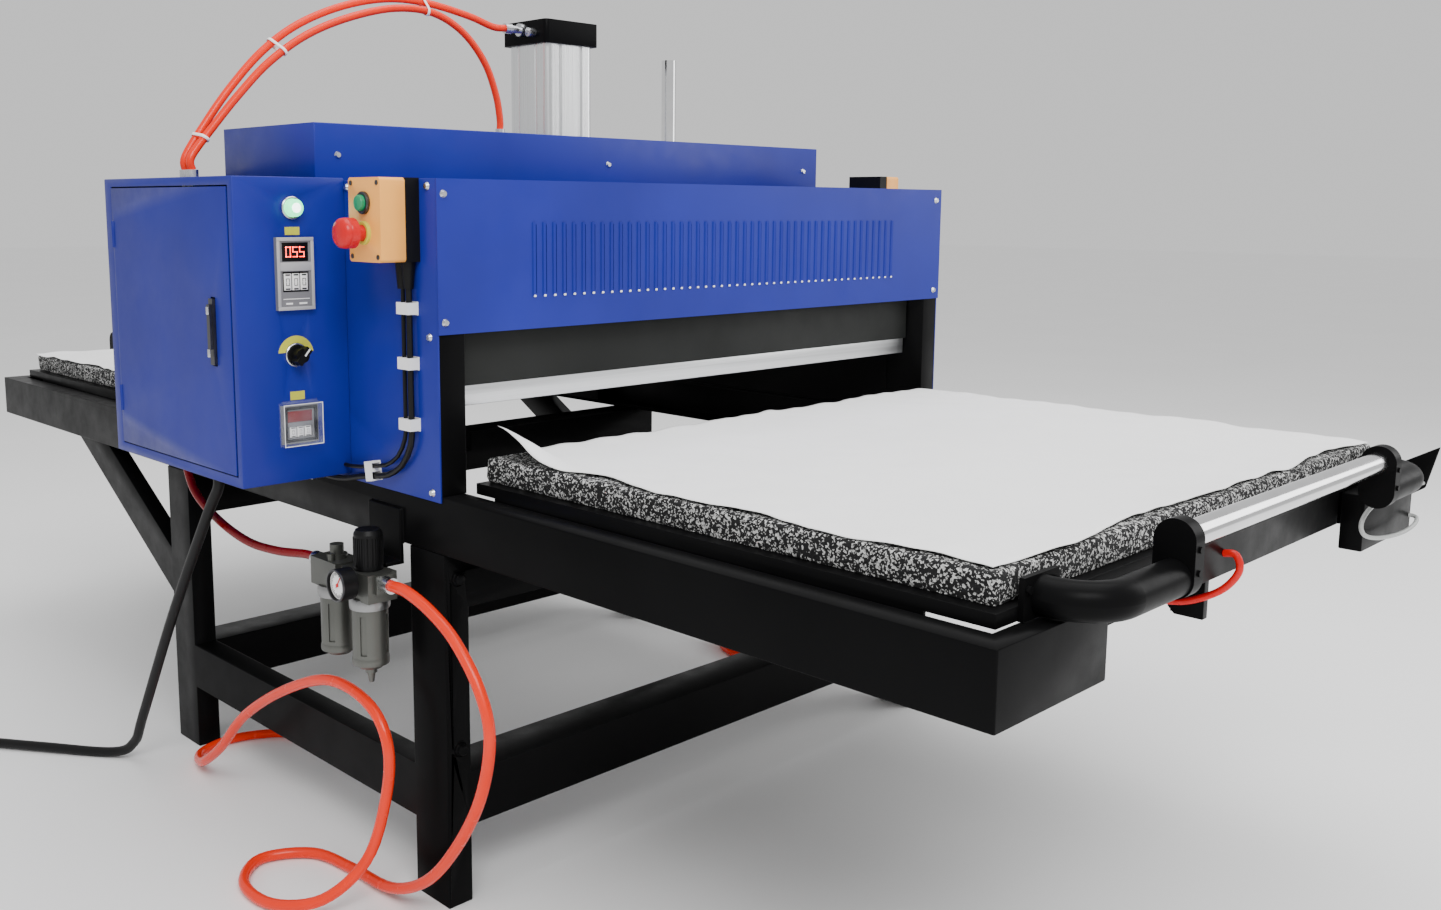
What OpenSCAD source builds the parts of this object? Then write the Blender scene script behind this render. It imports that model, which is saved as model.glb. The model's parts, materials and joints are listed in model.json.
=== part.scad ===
// Double-station pneumatic heat press: fixed head over two sliding tables.

/* [Frame] */
// Length of the frame across the head, left to right
frame_l = 1140; // [1120:1:1160]
// Depth of the frame between the outer faces of its legs
frame_d = 860; // [850:1:880]
// Height of the rails' top face above the floor
rail_z = 590; // [580:1:600]
// Height of a rail and of the other frame tubes
tube_h = 80; // [76:1:84]
// Width of a rail and of the other frame tubes
tube_w = 40; // [38:1:42]
// Wall of the frame tubes
tube_t = 4; // [3:1:5]
// How far each rail runs past the frame, at both ends
rail_out = 845; // [840:1:860]
// Height of the stretchers' lower face
stretcher_z = 112; // [100:1:130]

/* [Head] */
// Height of the head's flat top
head_z = 1012; // [1008:1:1030]
// Height of the front and rear panels
panel_h = 204; // [190:1:210]
// Thickness of the blue sheet metal
sheet_t = 3; // [2:0.5:3]
// Height of the upper housing's top
housing_z = 1096; // [1090:1:1110]
// Depth of the upper housing
housing_d = 282; // [270:1:290]
// Number of louvre slots in a panel
slot_count = 46; // [20:1:50]

/* [Press] */
// Length of the heated platen
platen_l = 1020; // [1000:1:1030]
// Depth of the heated platen
platen_d = 800; // [780:1:800]
// Thickness of the heated platen
platen_t = 28; // [25:1:30]
// Height of the platen's lower face when raised
platen_z = 705; // [704:1:712]
// Outer size of the square cylinder cap
cap_size = 122; // [118:1:126]
// Height of the cylinder cap's top
cylinder_top = 1300; // [1295:1:1310]
// Diameter of the guide rods
rod_d = 28; // [24:1:30]

/* [Tables] */
// Length of a table's pad
pad_l = 1020; // [1000:1:1030]
// Depth of a table's pad
pad_d = 790; // [780:1:800]
// Thickness of the foam pad
pad_t = 33; // [30:1:34]
// Thickness of the steel deck
deck_t = 15; // [12:1:15]
// Diameter of the black handle tube
arm_d = 40; // [36:1:42]
// Diameter of the chrome grip
grip_d = 28; // [26:1:32]
// Length of the chrome grip
grip_l = 590; // [560:10:620]

/* [Control box] */
// Width of the control box, out from the side panel
box_w = 169; // [160:1:175]
// Depth of the control box, front to rear
box_d = 422; // [410:1:430]
// Height of the control box
box_h = 424; // [410:1:424]

/* [Air unit] */
// Width of one air unit stage
stage_w = 84; // [82:1:86]
// Diameter of a bowl guard
bowl_d = 50; // [46:1:52]
// Diameter of the pressure gauge
gauge_d = 45; // [42:1:46]

/* [Hidden] */
$fn = 32;
shift_x = 42;
hx = frame_l / 2;
hy = frame_d / 2;
blue = [0.08, 0.16, 0.55];
black = [0.05, 0.05, 0.05];
side_x = -hx - sheet_t;
// Plane of the control box front, its rear and its outer face
box_y = -207;
box_x = side_x - box_w;
box_z = 591;
rail_low = rail_z - tube_h;
deck_z = rail_z + 1;
pad_z = deck_z + deck_t;
sheet_z = pad_z + pad_t;
table_y = -hy - 15 - pad_d / 2;
arm_z = 651;
arm_y = -455;
press_x = -10;
press_y = 15;
house_y = 12;
guide_y = 1;
air_y = -323 - stage_w / 2;

// Spline through hand-chosen points, with n steps between two of them
function pick(p, i) = p[max(0, min(len(p) - 1, i))];
function curve(a, b, c, d, t) = 0.5 * (2 * b + (c - a) * t
  + (2 * a - 5 * b + 4 * c - d) * t * t + (3 * b - a - 3 * c + d) * t * t * t);
function spline(p, n) = concat(
  [for (i = [0:len(p) - 2]) for (k = [0:n - 1])
    curve(pick(p, i - 1), p[i], p[i + 1], pick(p, i + 2), k / n)],
  [p[len(p) - 1]]);
function unit(v) = v / norm(v);
function tangent(p, i) = unit(pick(p, i + 1) - pick(p, i - 1));
function ring(c, t, ref, r, n) = let (s = unit(cross(t, ref)), u = cross(s, t))
  [for (k = [0:n - 1]) c + r * (s * cos(360 * k / n) + u * sin(360 * k / n))];
module hose(points, d, ref, steps = 2, sides = 8) {
  p = spline(points, steps);
  last = len(p) - 1;
  end = len(points) - 1;
  rings = [for (i = [0:last]) each ring(p[i], i == 0 ? unit(points[1] - points[0])
    : i == last ? unit(points[end] - points[end - 1]) : tangent(p, i), ref, d / 2, sides)];
  polyhedron(rings, concat(
    [for (i = [0:last - 1]) for (k = [0:sides - 1])
      let (a = i * sides + k, b = i * sides + (k + 1) % sides)
      [a, a + sides, b + sides, b]],
    [[for (k = [0:sides - 1]) k]],
    [[for (k = [sides - 1:-1:0]) last * sides + k]]));
}

module box(a, b) {
  translate(a) cube(b - a);
}
module rod_x(p, d, l) {
  translate(p) rotate([0, 90, 0]) cylinder(d = d, h = l);
}
module rod_y(p, d, l) {
  translate(p) rotate([-90, 0, 0]) cylinder(d = d, h = l);
}
module plate_round(size, r, t) {
  linear_extrude(t) union() {
    square([size.x - 2 * r, size.y], center = true);
    square([size.x, size.y - 2 * r], center = true);
    for (x = [-1, 1], y = [-1, 1])
      translate([x * (size.x / 2 - r), y * (size.y / 2 - r)]) circle(r);
  }
}

module leg_tube(x, y, z0, z1, grow) {
  box([x - tube_w / 2 - grow, y - tube_h / 2 - grow, z0],
      [x + tube_w / 2 + grow, y + tube_h / 2 + grow, z1]);
}
module lower_frame() {
  lx = hx - tube_w / 2;
  ly = hy - tube_h / 2;
  z0 = stretcher_z;
  z1 = stretcher_z + tube_h;
  color(black) difference() {
    union() {
      for (x = [-lx, lx], y = [-ly, ly]) leg_tube(x, y, 0, rail_low, 0);
      for (y = [-ly, ly]) box([-lx, y - tube_h / 2, z0], [lx, y + tube_h / 2, z1]);
      for (x = [-lx, lx]) box([x - tube_w / 2, -ly, z0], [x + tube_w / 2, ly, z1]);
      for (y = [-ly, ly]) box([-lx, y - tube_h / 2, 430], [lx, y + tube_h / 2, rail_low]);
      for (x = [-lx, lx]) intersection() {
        translate([x, hy, 306]) rotate([30, 0, 0]) box([-15, -60, -36], [15, 620, 36]);
        box([x - 20, hy - 20, 0], [x + 20, 1200, rail_low]);
      }
    }
    for (x = [-lx, lx], y = [-ly, ly]) leg_tube(x, y, tube_t, rail_low + 1, -tube_t);
    for (y = [-ly, ly])
      box([-lx, y - tube_h / 2 + tube_t, z0 + tube_t], [lx, y + tube_h / 2 - tube_t, z1 - tube_t]);
    for (x = [-lx, lx])
      box([x - tube_w / 2 + tube_t, -ly, z0 + tube_t], [x + tube_w / 2 - tube_t, ly, z1 - tube_t]);
    for (y = [-ly, ly], s = [-1, 1]) box([s < 0 ? -lx : 70, y - tube_h / 2 + tube_t, 434],
      [s < 0 ? -70 : lx, y + tube_h / 2 - tube_t, rail_low - tube_t]);
    // The table's catch passes through this notch
    for (y = [-ly, ly]) box([-46, y - tube_h, 472], [46, y + tube_h, rail_low + 1]);
  }
  // Frame bolts on the front and rear faces of the lower legs
  color(black) for (x = [-hx + 22, hx - 22], z = [230, 474], s = [-1, 1])
    translate([x, s * hy, z]) rotate([s < 0 ? 90 : -90, 0, 0]) {
      cylinder(d = 22, h = 2);
      translate([0, 0, 2]) cylinder(d = 17, h = 7, $fn = 6);
    }
}

module rails() {
  y_end = hy + rail_out - 30;
  color(black) for (s = [-1, 1]) {
    difference() {
      box([s < 0 ? -hx : hx - tube_w, -y_end, rail_low], [s < 0 ? -hx + tube_w : hx, y_end, rail_z]);
      box([s < 0 ? -hx + 6 : hx - tube_w - 1, -y_end + 30, rail_low + 6],
          [s < 0 ? -hx + tube_w + 1 : hx - 6, y_end - 30, rail_z - 6]);
    }
    for (e = [-1, 1]) translate([s * (hx - 103), e * (y_end + 15), rail_low + tube_h / 2])
      difference() {
        cube([206, 30, tube_h], center = true);
        cube([206 - 2 * tube_t, 30 - 2 * tube_t, tube_h - 2 * tube_t], center = true);
        for (x = [-60, 60]) translate([x, 0, -50]) cylinder(d = 10, h = 20);
      }
    box([s < 0 ? -531 : 518, -y_end + 50, rail_low], [s < 0 ? -518 : 531, y_end, rail_low + 4]);
  }
  // Bracket that hangs the air unit on the left rail
  color(black) {
    box([-600, air_y + 30, 480.2], [-594, air_y + 110, 486]);
    box([-598, air_y + 30, 480.2], [-570, air_y + 110, 486]);
    box([-576, air_y + 30, 480.2], [-570, air_y + 110, 560]);
  }
  // Switch bracket at the right rail's front end
  color(black) translate([hx, 0, 0]) rotate([90, 0, 90])
    linear_extrude(6) polygon([[-1235, 560], [-1235, 594], [-1306, 636], [-1291, 573], [-1272, 560]]);
}

module upper_frame() {
  lx = hx - tube_w / 2;
  ly = hy - tube_h / 2;
  color(black) {
    difference() {
      union() {
        for (x = [-lx, lx], y = [-ly, ly]) leg_tube(x, y, rail_z, 1004, 0);
        for (y = [-ly, ly]) box([-lx, y - tube_h / 2, 924], [lx, y + tube_h / 2, 1004]);
        for (x = [-lx, lx]) box([x - tube_w / 2, -ly, 924], [x + tube_w / 2, ly, 1004]);
      }
      for (x = [-lx, lx], y = [-ly, ly]) leg_tube(x, y, rail_z - 1, 1005, -tube_t);
      for (y = [-ly, ly])
        box([-lx, y - tube_h / 2 + tube_t, 928], [lx, y + tube_h / 2 - tube_t, 1000]);
      for (x = [-lx, lx])
        box([x - tube_w / 2 + tube_t, -ly, 928], [x + tube_w / 2 - tube_t, ly, 1000]);
    }
    for (s = [-1, 1]) box([s < 0 ? -530.5 : 528, -351, 590], [s < 0 ? -528 : 530.5, 351, 925]);
    // Bridge that carries the cylinder and the guide bushes
    difference() {
      union() {
        box([-lx - 8, press_y - 95, 1004], [lx + 8, press_y - 85, 1060]);
        box([-lx - 8, press_y + 85, 1004], [lx + 8, press_y + 95, 1060]);
        box([-lx - 8, press_y - 95, 1060], [lx + 8, press_y + 95, 1072]);
        for (s = [-1, 1]) translate([press_x + s * 285, guide_y, 1010]) cylinder(d = 60, h = 50);
      }
      for (s = [-1, 1]) translate([press_x + s * 285, guide_y, 1000])
        cylinder(d = rod_d + 0.16, h = 80);
      translate([press_x, press_y, 1000]) cylinder(d = 60, h = 80);
    }
  }
}

module side_panels() {
  color(blue) for (s = [-1, 1]) difference() {
    box([s < 0 ? -hx - sheet_t : hx, -hy, 582], [s < 0 ? -hx : hx + sheet_t, hy, head_z]);
    if (s < 0) translate([-hx - 10, 60, 800]) rotate([0, 90, 0]) cylinder(d = 40, h = 20);
  }
}

module louvre_panel() {
  p_low = head_z - panel_h;
  pitch = 830 / slot_count;
  difference() {
    union() {
      box([-hx - sheet_t, -hy - sheet_t, p_low], [hx + sheet_t, -hy, head_z]);
      for (i = [0:slot_count]) translate([-412 + i * pitch, -hy - sheet_t, p_low + 46])
        louvre(7, 101);
    }
    for (i = [0:slot_count]) box([-409.5 + i * pitch, -hy - 9, p_low + 49],
      [-407.5 + i * pitch, -hy + 1, p_low + 144]);
  }
}
module louvre(d, h) {
  linear_extrude(h) polygon([[-d / 2, 0.5], [-d / 2 + 1, -1.5], [d / 2 - 2, -2.2], [d / 2, 0.5]]);
}
module louvre_panels() {
  color(blue) {
    louvre_panel();
    rotate([0, 0, 180]) louvre_panel();
  }
}

module top_cover() {
  y0 = house_y - housing_d / 2;
  y1 = house_y + housing_d / 2;
  color(blue) difference() {
    box([-hx, -hy, head_z - sheet_t], [hx, hy, head_z]);
    box([-hx + 6, y0 + 8, head_z - 10], [hx - 6, y1 - 8, head_z + 10]);
  }
}

module upper_housing() {
  y0 = house_y - housing_d / 2;
  y1 = house_y + housing_d / 2;
  color(blue) difference() {
    box([-hx - sheet_t, y0, head_z], [hx + sheet_t, y1, housing_z]);
    box([-hx, y0 + sheet_t, head_z - 1], [hx, y1 - sheet_t, housing_z - sheet_t]);
    translate([press_x, press_y, housing_z - 10])
      linear_extrude(20) square(112, center = true);
    translate([press_x + 285, guide_y, housing_z - 10]) cylinder(d = rod_d + 12, h = 20);
  }
}

module screw_head(p, dir) {
  translate(p) rotate(dir) {
    cylinder(d1 = 11, d2 = 7, h = 3.4, $fn = 24);
  }
}
module fasteners() {
  color("silver") {
    for (x = [-hx + 8, hx - 14], z = [head_z - 20, head_z - 188])
      for (s = [-1, 1]) screw_head([x, s * (hy + sheet_t), z], [s < 0 ? 90 : -90, 0, 0]);
    for (x = [-hx + 35, 0, hx - 40], s = [-1, 1])
      screw_head([x, house_y + s * housing_d / 2, head_z + 38], [s < 0 ? 90 : -90, 0, 0]);
    for (y = [-hy + 18, hy - 18], z = [594, 804, 1003])
      screw_head([hx + sheet_t, y, z], [0, 90, 0]);
    for (y = [-hy + 18, hy - 18], z = [594, 804]) screw_head([side_x, y, z], [0, -90, 0]);
    for (y = [-hy + 18, hy - 18, box_y - 8]) screw_head([side_x, y, 1002], [0, -90, 0]);
  }
}

module control_box() {
  x0 = box_x;
  x1 = side_x;
  y1 = box_y + box_d;
  z1 = box_z + box_h;
  color(blue) difference() {
    box([x0, box_y, box_z], [x1, y1, z1]);
    box([x0 + 2, box_y + 2, box_z + 2], [x1 - 2, y1 - 2, z1 - 2]);
    box([x0 - 1, box_y + 14, box_z + 14], [x0 + 3, y1 - 24, z1 - 12]);
    // Cut-outs for the meters and the switch
    translate([x0 + 85, box_y - 1, 883]) rotate([-90, 0, 0])
      linear_extrude(4) square([46, 92], center = true);
    translate([x0 + 87, box_y - 1, 673]) rotate([-90, 0, 0])
      linear_extrude(4) square([46, 46], center = true);
    rod_y([x0 + 86, box_y - 1, 770], 22.6, 4);
    rod_y([x0 + 86, box_y - 1, 973], 22.6, 4);
    // Hose and cable entries
    for (y = [-2, 18]) translate([x0 + 42, y, z1 - 5]) cylinder(d = 15, h = 10);
    translate([x0 + 82, 150, box_z - 5]) cylinder(d = 19, h = 10);
    translate([x0 + 72, 20, box_z - 5]) cylinder(d = 20, h = 10);
    translate([x1 - 17, -126, box_z - 5]) cylinder(d = 20, h = 10);
  }
}

module control_gear() {
  x1 = side_x - 2;
  color("lightgray") {
    box([x1 - 5, box_y + 40, box_z + 40], [x1 - 3, box_y + box_d - 40, box_z + box_h - 40]);
    for (y = [60, 340], z = [60, 360])
      box([x1 - 3, box_y + y, box_z + z], [x1, box_y + y + 14, box_z + z + 14]);
    for (z = [box_z + 130, box_z + 270])
      box([x1 - 12, box_y + 50, z], [x1 - 5, box_y + box_d - 50, z + 35]);
    for (i = [0:2])
      box([x1 - 60, box_y + 100 + i * 58, box_z + 110], [x1 - 12, box_y + 148 + i * 58, box_z + 190]);
    for (i = [0:4])
      box([x1 - 56, box_y + 100 + i * 27, box_z + 255], [x1 - 12, box_y + 122 + i * 27, box_z + 320]);
    box([x1 - 50, box_y + 250, box_z + 250], [x1 - 12, box_y + 360, box_z + 330]);
    box([x1 - 40, box_y + 288, box_z + 120], [x1 - 12, box_y + 370, box_z + 180]);
  }
}

module control_door() {
  x0 = box_x;
  y0 = box_y + 16;
  y1 = box_y + box_d - 26;
  z0 = box_z + 16;
  z1 = box_z + box_h - 14;
  color(blue) {
    difference() {
      box([x0 - 1, y0, z0], [x0 + 1, y1, z1]);
      box([x0 - 3, y0 + 43, z0 + 148], [x0 + 3, y0 + 57, z0 + 244]);
    }
    difference() {
      box([x0 + 1, y0 + 2, z0 + 2], [x0 + 12, y1 - 2, z1 - 2]);
      box([x0, y0 + 4, z0 + 4], [x0 + 13, y1 - 4, z1 - 4]);
    }
    for (z = [z0 + 50, z1 - 90]) translate([x0 - 1, y1 - 2.5, z]) cylinder(d = 6, h = 40);
  }
}

module door_latch() {
  x0 = box_x;
  y0 = box_y + 16 + 50;
  z0 = box_z + 16 + 150;
  color("dimgray") {
    box([x0 - 5, y0 - 6, z0], [x0 - 1.2, y0 + 6, z0 + 92]);
    box([x0 - 9, y0 - 4.5, z0 + 22], [x0 - 5, y0 + 4.5, z0 + 84]);
    box([x0 - 1.2, y0 - 4, z0 + 8], [x0 + 10, y0 + 4, z0 + 84]);
    rod_y([x0 - 1.2, y0 - 6.4, 761], 5, 12.8);
  }
}

module pilot_lamp() {
  x = box_x + 86;
  color("limegreen") {
    rod_y([x, box_y - 12, 973], 24, 9);
    rod_y([x, box_y - 3, 973], 30, 3);
    rod_y([x, box_y, 973], 22, 30);
  }
}

module control_labels() {
  x = box_x + 86;
  color("gold") {
    box([x - 11, box_y - 0.8, 936], [x + 11, box_y, 947]);
    box([x - 11, box_y - 0.8, 707], [x + 11, box_y, 719]);
    translate([x, box_y, 770]) rotate([90, 0, 0]) linear_extrude(0.8) difference() {
      circle(27);
      circle(17);
      translate([-40, -40]) square([80, 44]);
    }
  }
}

module control_meters() {
  x = box_x + 86;
  color("dimgray") {
    difference() {
      union() {
        box([x - 28, box_y - 7, 833], [x + 28, box_y, 933]);
        box([x - 22, box_y, 839], [x + 22, box_y + 80, 927]);
      }
      box([x - 20, box_y - 8, 900], [x + 20, box_y - 4, 926]);
      box([x - 20, box_y - 8, 858], [x + 20, box_y - 4, 886]);
    }
    difference() {
      union() {
        box([x - 27, box_y - 4, 646], [x + 29, box_y, 700]);
        box([x - 20, box_y, 652], [x + 22, box_y + 70, 694]);
      }
      box([x - 18, box_y - 5, 676], [x + 20, box_y - 2, 692]);
      box([x - 18, box_y - 5, 654], [x + 20, box_y - 2, 670]);
    }
  }
}

module selector_knob() {
  x = box_x + 86;
  color(black) difference() {
    union() {
      rod_y([x, box_y - 6, 770], 29, 5.5);
      rod_y([x, box_y - 20, 770], 20, 14);
      translate([x, 0, 770]) rotate([0, 40, 0])
        box([-5, box_y - 25, -13], [5, box_y - 6, 13]);
      rod_y([x, box_y - 0.5, 770], 22.5, 26);
    }
    translate([x, 0, 770]) rotate([0, 40, 0]) box([-0.8, box_y - 26, 4], [0.8, box_y - 24, 12]);
  }
}

module timer_cover() {
  x = box_x + 87;
  color("lightcyan", 0.4) difference() {
    union() {
      box([x - 30, box_y - 14, 643], [x + 31, box_y - 0.5, 703]);
      rod_x([x - 26, box_y - 3.5, 704], 5, 53);
    }
    box([x - 28.4, box_y - 12.4, 644.6], [x + 29.4, box_y + 1, 701.4]);
  }
}

// Push-button station: a black base and a yellow lid, drawn for the left side
module pendant_base() {
  color(black) {
    box([-22, -38, 0], [0, 38, 110]);
    translate([-10, -10, -36]) cylinder(d1 = 14, d2 = 19.6, h = 36);
    translate([-10, -24, -36]) cylinder(d1 = 13, d2 = 19.6, h = 36);
  }
}
module pendant_lid() {
  color("gold") difference() {
    union() {
      translate([-60, 0, 55]) rotate([0, 90, 0]) plate_round([110, 76], 5, 38);
      rod_x([-62, 0, 77], 29, 2);
      rod_x([-62, 0, 38], 29, 2);
    }
    for (z = [38, 77]) rod_x([-70, 0, z], 22.5, 49);
  }
}
module start_button() {
  color("green") {
    rod_x([-69, 0, 77], 21, 33);
  }
}
module stop_button() {
  color("red") {
    rod_x([-78, 0, 38], 21, 42);
    translate([-94, 0, 38]) rotate([0, 90, 0]) cylinder(d1 = 32, d2 = 40, h = 6);
    rod_x([-88, 0, 38], 40, 10);
  }
}
module on_left(z = 903) {
  translate([side_x, -356, z]) children();
}
module on_right(z = 929) {
  translate([hx + sheet_t, -252, z]) mirror([1, 0, 0]) children();
}

module clip(p, turn = 0) {
  translate(p) rotate([turn, 0, 0]) {
    box([-1.5, -14, -9], [0, 14, 9]);
    difference() {
      box([-16.6, -14, -8], [-1.5, 14, 8]);
      box([-15, -12, -10], [-1.4, -1.6, 10]);
      box([-13.8, 3.2, -10], [-1.4, 10.8, 10]);
    }
  }
}
module cable_clips() {
  color("white") {
    clip([side_x, -373, 841]);
    clip([side_x, -373, 767]);
    clip([side_x, -373, 684]);
    clip([side_x, -278, 606], 80);
  }
}
module clipped_cables() {
  x = side_x - 10;
  color(black) {
    hose([[x, -380, 866.9], [x, -380, 841], [x, -380, 804], [x, -380, 767], [x, -380, 730],
      [x, -380, 684], [x, -377, 655], [x, -354, 624], [x, -318, 606], [x, -279.2, 599.1],
      [x, -246, 593.3], [x, -216, 586], [x - 1, -186, 582.5], [x - 2, -160, 582],
      [x - 2, -141.1, 582]], 8.6, [1, 0.01, 0.02]);
    hose([[x, -366, 866.9], [x, -366, 841], [x, -366, 804], [x, -366, 767], [x, -366, 730],
      [x, -366, 684], [x, -363, 662], [x, -345, 636], [x, -314, 619.5], [x, -276.8, 612.9],
      [x, -250, 608], [x, -228, 605.5], [x, -218, 605], [x, -207.1, 605]],
      6, [1, 0.01, 0.02]);
  }
}

module cylinder_body() {
  h = cylinder_top - 40 - 1092;
  color("silver") translate([press_x, press_y, 1092]) difference() {
    plate_round([108, 108], 12, h);
    for (a = [0:90:270], y = [-24, 24]) rotate(a) translate([55.5, y, -1]) cylinder(d = 9, h = h + 2);
    translate([0, 0, -1]) cylinder(d = 94, h = h + 2, $fn = 64);
  }
}
module cylinder_caps() {
  color(black) translate([press_x, press_y, 0]) {
    difference() {
      translate([0, 0, cylinder_top - 40]) plate_round([cap_size, cap_size], 8, 40);
      for (x = [-46, 46], y = [-46, 46]) translate([x, y, cylinder_top - 8]) cylinder(d = 16, h = 10);
    }
    for (x = [-46, 46], y = [-46, 46])
      translate([x, y, cylinder_top - 8]) cylinder(d = 12, h = 6, $fn = 6);
    difference() {
      translate([0, 0, 1072]) plate_round([cap_size, cap_size], 8, 20);
      translate([0, 0, 1070]) cylinder(d = 33, h = 24);
    }
  }
}

module air_fittings() {
  x0 = box_x;
  top = box_z + box_h;
  color("silver") {
    // Elbow pair on the cylinder cap
    translate([press_x, press_y, cylinder_top - 16]) {
      rod_x([-73, 0, 0], 22, 12);
      rod_x([-92, 0, 0], 13, 20);
      rod_x([-104, 0, 0], 17, 14);
      rod_x([-75, -28, -6], 15, 14);
    }
    // Nipple of the lower chamber, on the housing
    translate([-137, guide_y, housing_z]) cylinder(d = 20, h = 6, $fn = 6);
    translate([-137, guide_y, housing_z + 6]) cylinder(d = 16, h = 8);
    // Bulkhead fittings on the control box
    for (y = [-2, 18]) translate([x0 + 42, y, top - 12]) {
      cylinder(d = 14, h = 12);
      translate([0, 0, 12]) cylinder(d = 18, h = 12);
    }
    translate([x0 + 82, 150, box_z - 12]) cylinder(d = 24, h = 12);
    translate([x0 + 82, 150, box_z]) cylinder(d = 18, h = 12);
    // Inlet and outlet of the air unit
    rod_y([-620, air_y - 16, 467], 22, 18);
    rod_y([-620, air_y + 2 * stage_w - 2, 467], 22, 20);
  }
  color(black) {
    translate([x0 + 72, 20, box_z - 20]) cylinder(d = 28, h = 20);
    translate([x0 + 72, 20, box_z]) cylinder(d = 19, h = 14);
    box([side_x - 27, -141, box_z - 16], [side_x - 5, -112, box_z]);
    translate([side_x - 17, -126, box_z]) cylinder(d = 19, h = 12);
  }
}

module air_unit_body() {
  y0 = air_y;
  color("silver") {
    for (i = [0, 1]) translate([-620, y0 + stage_w * (i + 0.5), 0]) {
      translate([0, 0, 440]) linear_extrude(40) square([46, stage_w - 16], center = true);
      translate([0, 0, 430]) cylinder(d = 52, h = 12);
    }
    box([-634, y0 + stage_w - 12, 450], [-606, y0 + stage_w + 12, 477]);
    for (y = [y0 + 2, y0 + 2 * stage_w - 9]) box([-633, y, 453], [-607, y + 7, 479]);
    translate([-620, y0 + 1.5 * stage_w, 480]) cylinder(d = 30, h = 6);
    translate([-620, y0 + 1.5 * stage_w, 486]) cylinder(d = 20, h = 14);
    translate([-636, y0 + 1.5 * stage_w - 12, 480]) cylinder(d = 10, h = 10);
    // Pressure port towards the gauge
    rod_x([-650, y0 + stage_w / 2, 466], 14, 12);
  }
}
module air_unit_bowls() {
  y0 = air_y;
  color("gray") for (i = [0, 1]) translate([-620, y0 + stage_w * (i + 0.5), 0]) {
    difference() {
      union() {
        translate([0, 0, 352]) cylinder(d = bowl_d, h = 78);
        translate([0, 0, 340]) cylinder(d1 = bowl_d - 18, d2 = bowl_d, h = 12);
      }
      for (a = [0, 90, 180, 270]) rotate([0, 0, a + 35])
        box([bowl_d / 2 - 2.5, -4.5, 362], [bowl_d / 2 + 2, 4.5, 418]);
      translate([0, 0, 356]) cylinder(d = bowl_d - 8, h = 80);
    }
    translate([0, 0, 358]) cylinder(d = bowl_d - 9, h = 71);
  }
  color(black) translate([-620, y0 + stage_w / 2, 0]) {
    translate([0, 0, 332]) cylinder(d = 16, h = 10);
    translate([0, 0, 318]) cylinder(d1 = 7, d2 = 12, h = 14);
  }
}
module regulator_knob() {
  color(black) translate([-620, -323, 480.6]) difference() {
    union() {
      cylinder(d = 40, h = 50, $fn = 48);
      translate([0, 0, 50]) cylinder(d1 = 40, d2 = 34, h = 6, $fn = 48);
    }
    for (a = [0:18:342]) rotate([0, 0, a]) translate([20.6, 0, 6]) cylinder(d = 2.6, h = 40, $fn = 16);
  }
}
module gauge_body() {
  color(black) translate([-673, -323, 466]) rotate([0, 90, 0]) difference() {
    union() {
      cylinder(d = gauge_d, h = 23, $fn = 48);
      cylinder(d1 = gauge_d - 3, d2 = gauge_d, h = 2, $fn = 48);
    }
    translate([0, 0, -1]) cylinder(d = gauge_d - 6, h = 6, $fn = 48);
  }
}
module gauge_needle() {
  color("red") translate([-671, -323, 466]) {
    rod_x([0, 0, 0], 5, 1.4);
    rotate([35, 0, 0]) box([0.3, -0.7, -5], [1, 0.7, 15]);
  }
}

module platen() {
  color("lightgray")
    box([-platen_l / 2, -platen_d / 2, platen_z], [platen_l / 2, platen_d / 2, platen_z + platen_t]);
}
module insulation() {
  z0 = platen_z + platen_t;
  color("gray") box([-platen_l / 2, -platen_d / 2 + 2, z0], [platen_l / 2, platen_d / 2 - 2, z0 + 40]);
}
module heat_shield() {
  z0 = platen_z + platen_t;
  l = platen_l / 2 + 6;
  d = platen_d / 2 + 2;
  color("dimgray") {
    difference() {
      box([-l, -d, z0], [l, d, z0 + 92]);
      box([-l + 4, -d + 3, z0 - 1], [l - 4, d - 3, z0 + 40]);
      box([-l + 3, -d + 3, z0 + 44], [l - 3, d - 3, z0 + 93]);
    }
    difference() {
      box([-l + 20, -45, z0 + 44], [l - 20, 75, z0 + 110]);
      box([-l + 26, -39, z0 + 43], [-345, 69, z0 + 104]);
      box([-245, -39, z0 + 43], [-60, 69, z0 + 104]);
      box([40, -39, z0 + 43], [225, 69, z0 + 104]);
      box([325, -39, z0 + 43], [l - 26, 69, z0 + 104]);
    }
    for (s = [-1, 1], y = [-1, 1]) difference() {
      box([press_x + s * 285 - 50, y < 0 ? -340 : 75, z0 + 44],
          [press_x + s * 285 + 50, y < 0 ? -45 : 340, z0 + 85]);
      box([press_x + s * 285 - 45, y < 0 ? -341 : 75, z0 + 43],
          [press_x + s * 285 + 45, y < 0 ? -45 : 341, z0 + 80]);
    }
  }
}
module press_rods() {
  z0 = platen_z + platen_t + 110;
  color("silver") {
    translate([press_x, press_y, z0]) cylinder(d = 32, h = 1230 - z0);
    translate([press_x, press_y, 1230]) cylinder(d = 93.88, h = 22, $fn = 64);
    translate([press_x, press_y, z0]) cylinder(d = 54, h = 12);
    for (s = [-1, 1]) translate([press_x + s * 285, guide_y, z0]) {
      cylinder(d = rod_d, h = (s < 0 ? 1088 : 1258) - z0);
      cylinder(d = 54, h = 12);
    }
  }
}

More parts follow.
